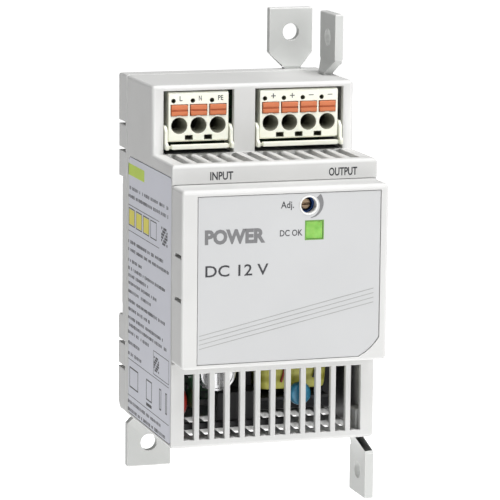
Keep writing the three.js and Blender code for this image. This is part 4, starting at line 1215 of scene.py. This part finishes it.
# %% Capacitors
def capacitor(node, axis, upside, bare=0.5):
    """upside is +1 or -1: the way from the board to the scored top along the axis."""
    low, high = span(node)
    middle = (low + high) / 2
    first, _, along = AXES[axis]
    radius = (high[first] - low[first]) / 2
    height = high[along] - low[along]
    foot = Vector(middle)
    foot[along] = low[along] if upside > 0 else high[along]
    sleeve_top = height - bare
    sleeve = [(0, 0.3), (radius - 0.9, 0.3), (radius - 0.8, 0), (radius - 0.25, 0), (radius, 0.3),
              (radius, 1.5), (radius - 0.35, 1.8), (radius - 0.35, 2.1), (radius, 2.4),
              (radius, sleeve_top - 0.3), (radius - 0.12, sleeve_top), (radius - 0.5, sleeve_top - 0.1),
              (0, sleeve_top - 0.1)]
    top = [(0, sleeve_top - 0.2), (radius - 0.3, sleeve_top - 0.2), (radius - 0.2, sleeve_top + 0.05),
           (radius - 0.2, height - 0.25), (radius - 0.45, height), (radius - 0.9, height),
           (radius - 1.05, height - 0.2), (0, height - 0.2)]
    for part, profile, finish in (("sleeve", sleeve, sleeve_black), ("top", top, can_aluminium)):
        shape = [(r, h * upside) for r, h in profile]
        form = turn(bmesh.new(), shape, axis, foot, 40)
        new_piece(f"{node}_{part}", form, finish, "housing",
                  (node,) if part == "sleeve" else ())
    form = bmesh.new()
    for across in (first, AXES[axis][1]):
        arm_low, arm_high = Vector(foot), Vector(foot)
        for direction in (first, AXES[axis][1]):
            reach = radius * 0.62 if direction == across else 0.14
            arm_low[direction] -= reach
            arm_high[direction] += reach
        ends = sorted((foot[along] + upside * (height - 0.3), foot[along] + upside * (height - 0.16)))
        arm_low[along], arm_high[along] = ends
        block(form, arm_low, arm_high)
    new_piece(f"{node}_score", form, ink_grey, "housing")


capacitor("output_capacitor_2", "y", -1, 1.5)
capacitor("bulk_capacitor", "y", -1)
capacitor("output_capacitor_1", "y", -1)
print("capacitors sleeved")

# %% [markdown]
# ## Discs, fuse and choke
# Varistors and ceramic capacitors are discs dipped in lacquer, with rounded rims and two bent leads. The
# fuse is a glass tube with two plated caps and a bent lead from each.

# %% Discs
def dipped_disc(node, axis, finish, board_y, lead_axis):
    low, high = span(node)
    middle = (low + high) / 2
    first, _, along = AXES[axis]
    radius = (high[first] - low[first]) / 2
    half = (high[along] - low[along]) / 2
    steps = 8
    profile = [(0, -half)]
    for i in range(1, 2 * steps):
        angle = math.pi * (i / (2 * steps) - 0.5)
        profile.append((radius - half * 0.8 + half * 0.8 * math.cos(angle), half * math.sin(angle)))
    profile.append((0, half))
    form = turn(bmesh.new(), profile, axis, middle, 40)
    new_piece(f"{node}_dipped", form, finish, "housing", (node,))
    form = bmesh.new()
    for side in (-1, 1):
        start, end = Vector(middle), Vector(middle)
        start[lead_axis] += side * radius * 0.45
        end[lead_axis] = start[lead_axis]
        start.y += radius * 0.8 if axis != "y" else half * 0.5
        end.y = board_y
        bow = start.lerp(end, 0.5)
        bow[lead_axis] += side * 0.5
        wire(form, bend(start, bow, end), 0.3)
    new_piece(f"{node}_leads", form, tinned_pin, "housing")


dipped_disc("varistor", "x", varistor_blue, board_low.y, 2)
dipped_disc("inrush_limiter", "x", disc_red, board_low.y, 2)
dipped_disc("safety_capacitor", "y", disc_blue, board_low.y, 0)

# %% Fuse
fuse_low, fuse_high = span("fuse")
fuse_mid = (fuse_low + fuse_high) / 2
fuse_r = (fuse_high.y - fuse_low.y) / 2
foot = (fuse_low.x, fuse_mid.y, fuse_mid.z)
length = fuse_high.x - fuse_low.x
tube = [(0, 1), (fuse_r - 0.3, 1), (fuse_r - 0.3, length - 1), (0, length - 1)]
new_piece("fuse_tube", turn(bmesh.new(), tube, "x", foot), fuse_glass, "housing", ("fuse",))
form = bmesh.new()
for start, way in ((0, 1), (length, -1)):
    cap = [(0, start), (fuse_r - 0.3, start), (fuse_r, start + way * 0.3), (fuse_r, start + way * 4.9),
           (fuse_r - 0.25, start + way * 5.0), (fuse_r - 0.25, start + way * 4.2), (0, start + way * 4.2)]
    turn(form, cap, "x", foot)
    wire(form, bend((fuse_low.x + start + way * 0.2, fuse_mid.y, fuse_mid.z),
                    (fuse_low.x + start, fuse_mid.y + 2.0, fuse_mid.z),
                    (fuse_low.x + start + way * 1.2, board_low.y, fuse_mid.z)), 0.35)
new_piece("fuse_caps", form, zinc_steel, "housing")

# %% Choke
stand_for(softened("choke_core", (), 0.4, 0.3, 2, core_ferrite, "frame"), "choke_core", "housing")
coil_low, coil_high = span("choke_coil")
COPPER = 0.3
middle = (coil_low + coil_high) / 2
turns_high = int((coil_high.z - coil_low.z) / (2 * COPPER))
for layer in range(2):
    inset = COPPER * (1 + layer * 1.8)
    values = {"Width": (coil_high.x - coil_low.x - 2 * inset) * MM,
              "Depth": (coil_high.y - coil_low.y - 2 * inset) * MM,
              "Corner": 1.2 * MM, "Wire": COPPER * MM, "Turns": turns_high, "Rise": (0, 0, 2 * COPPER * MM),
              "Start": (middle.x * MM, middle.y * MM, (coil_low.z + COPPER) * MM)}
    grown(f"choke_winding_{layer + 1}", bmesh.new(), turns_tree, values, enamelled_copper, "housing",
          ("choke_coil",) if layer == 0 else ())

# %% Semiconductors, heat sink and box capacitor
BOARD_PARTS = {"bridge_rectifier": (black_moulding, "case"), "optocoupler": (black_moulding, "case"),
               "switching_transistor": (black_moulding, "case"), "heat_sink": (sink_aluminium, "profile"),
               "interference_capacitor": (capacitor_yellow, "box"), "filter_block": (black_moulding, "case")}
for name, (finish, suffix) in BOARD_PARTS.items():
    stand_for(softened(name, (), 0.4, 0.25, 2, finish, suffix), name, "housing")


def pin_row(name, node, count, pitch, step_axis):
    """Flat pins from the board side of a part down to the board."""
    low, high = span(node)
    start = (low + high) / 2
    start[step_axis] -= pitch * (count - 1) / 2
    form = block(bmesh.new(), (start.x - 0.3, high.y - 0.3, start.z - 0.3),
                 (start.x + 0.3, board_low.y, start.z + 0.3), 0.08)
    offset = [0, 0, 0]
    offset[step_axis] = pitch * MM
    grown(name, form, row_tree, {"Count": count, "Step": tuple(offset)}, tinned_pin, "housing")


pin_row("bridge_pins", "bridge_rectifier", 4, 3.4, 2)
pin_row("transistor_pins", "switching_transistor", 3, 2.54, 2)
pin_row("optocoupler_pins", "optocoupler", 2, 2.54, 0)
print("every node has its finish")

# %% [markdown]
# ## Finish
# Last, the box round the finished model is measured. It should agree with the mechanical one to well
# under a millimetre, since every piece was drawn inside its own solid.

# %% Finish
low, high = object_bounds()
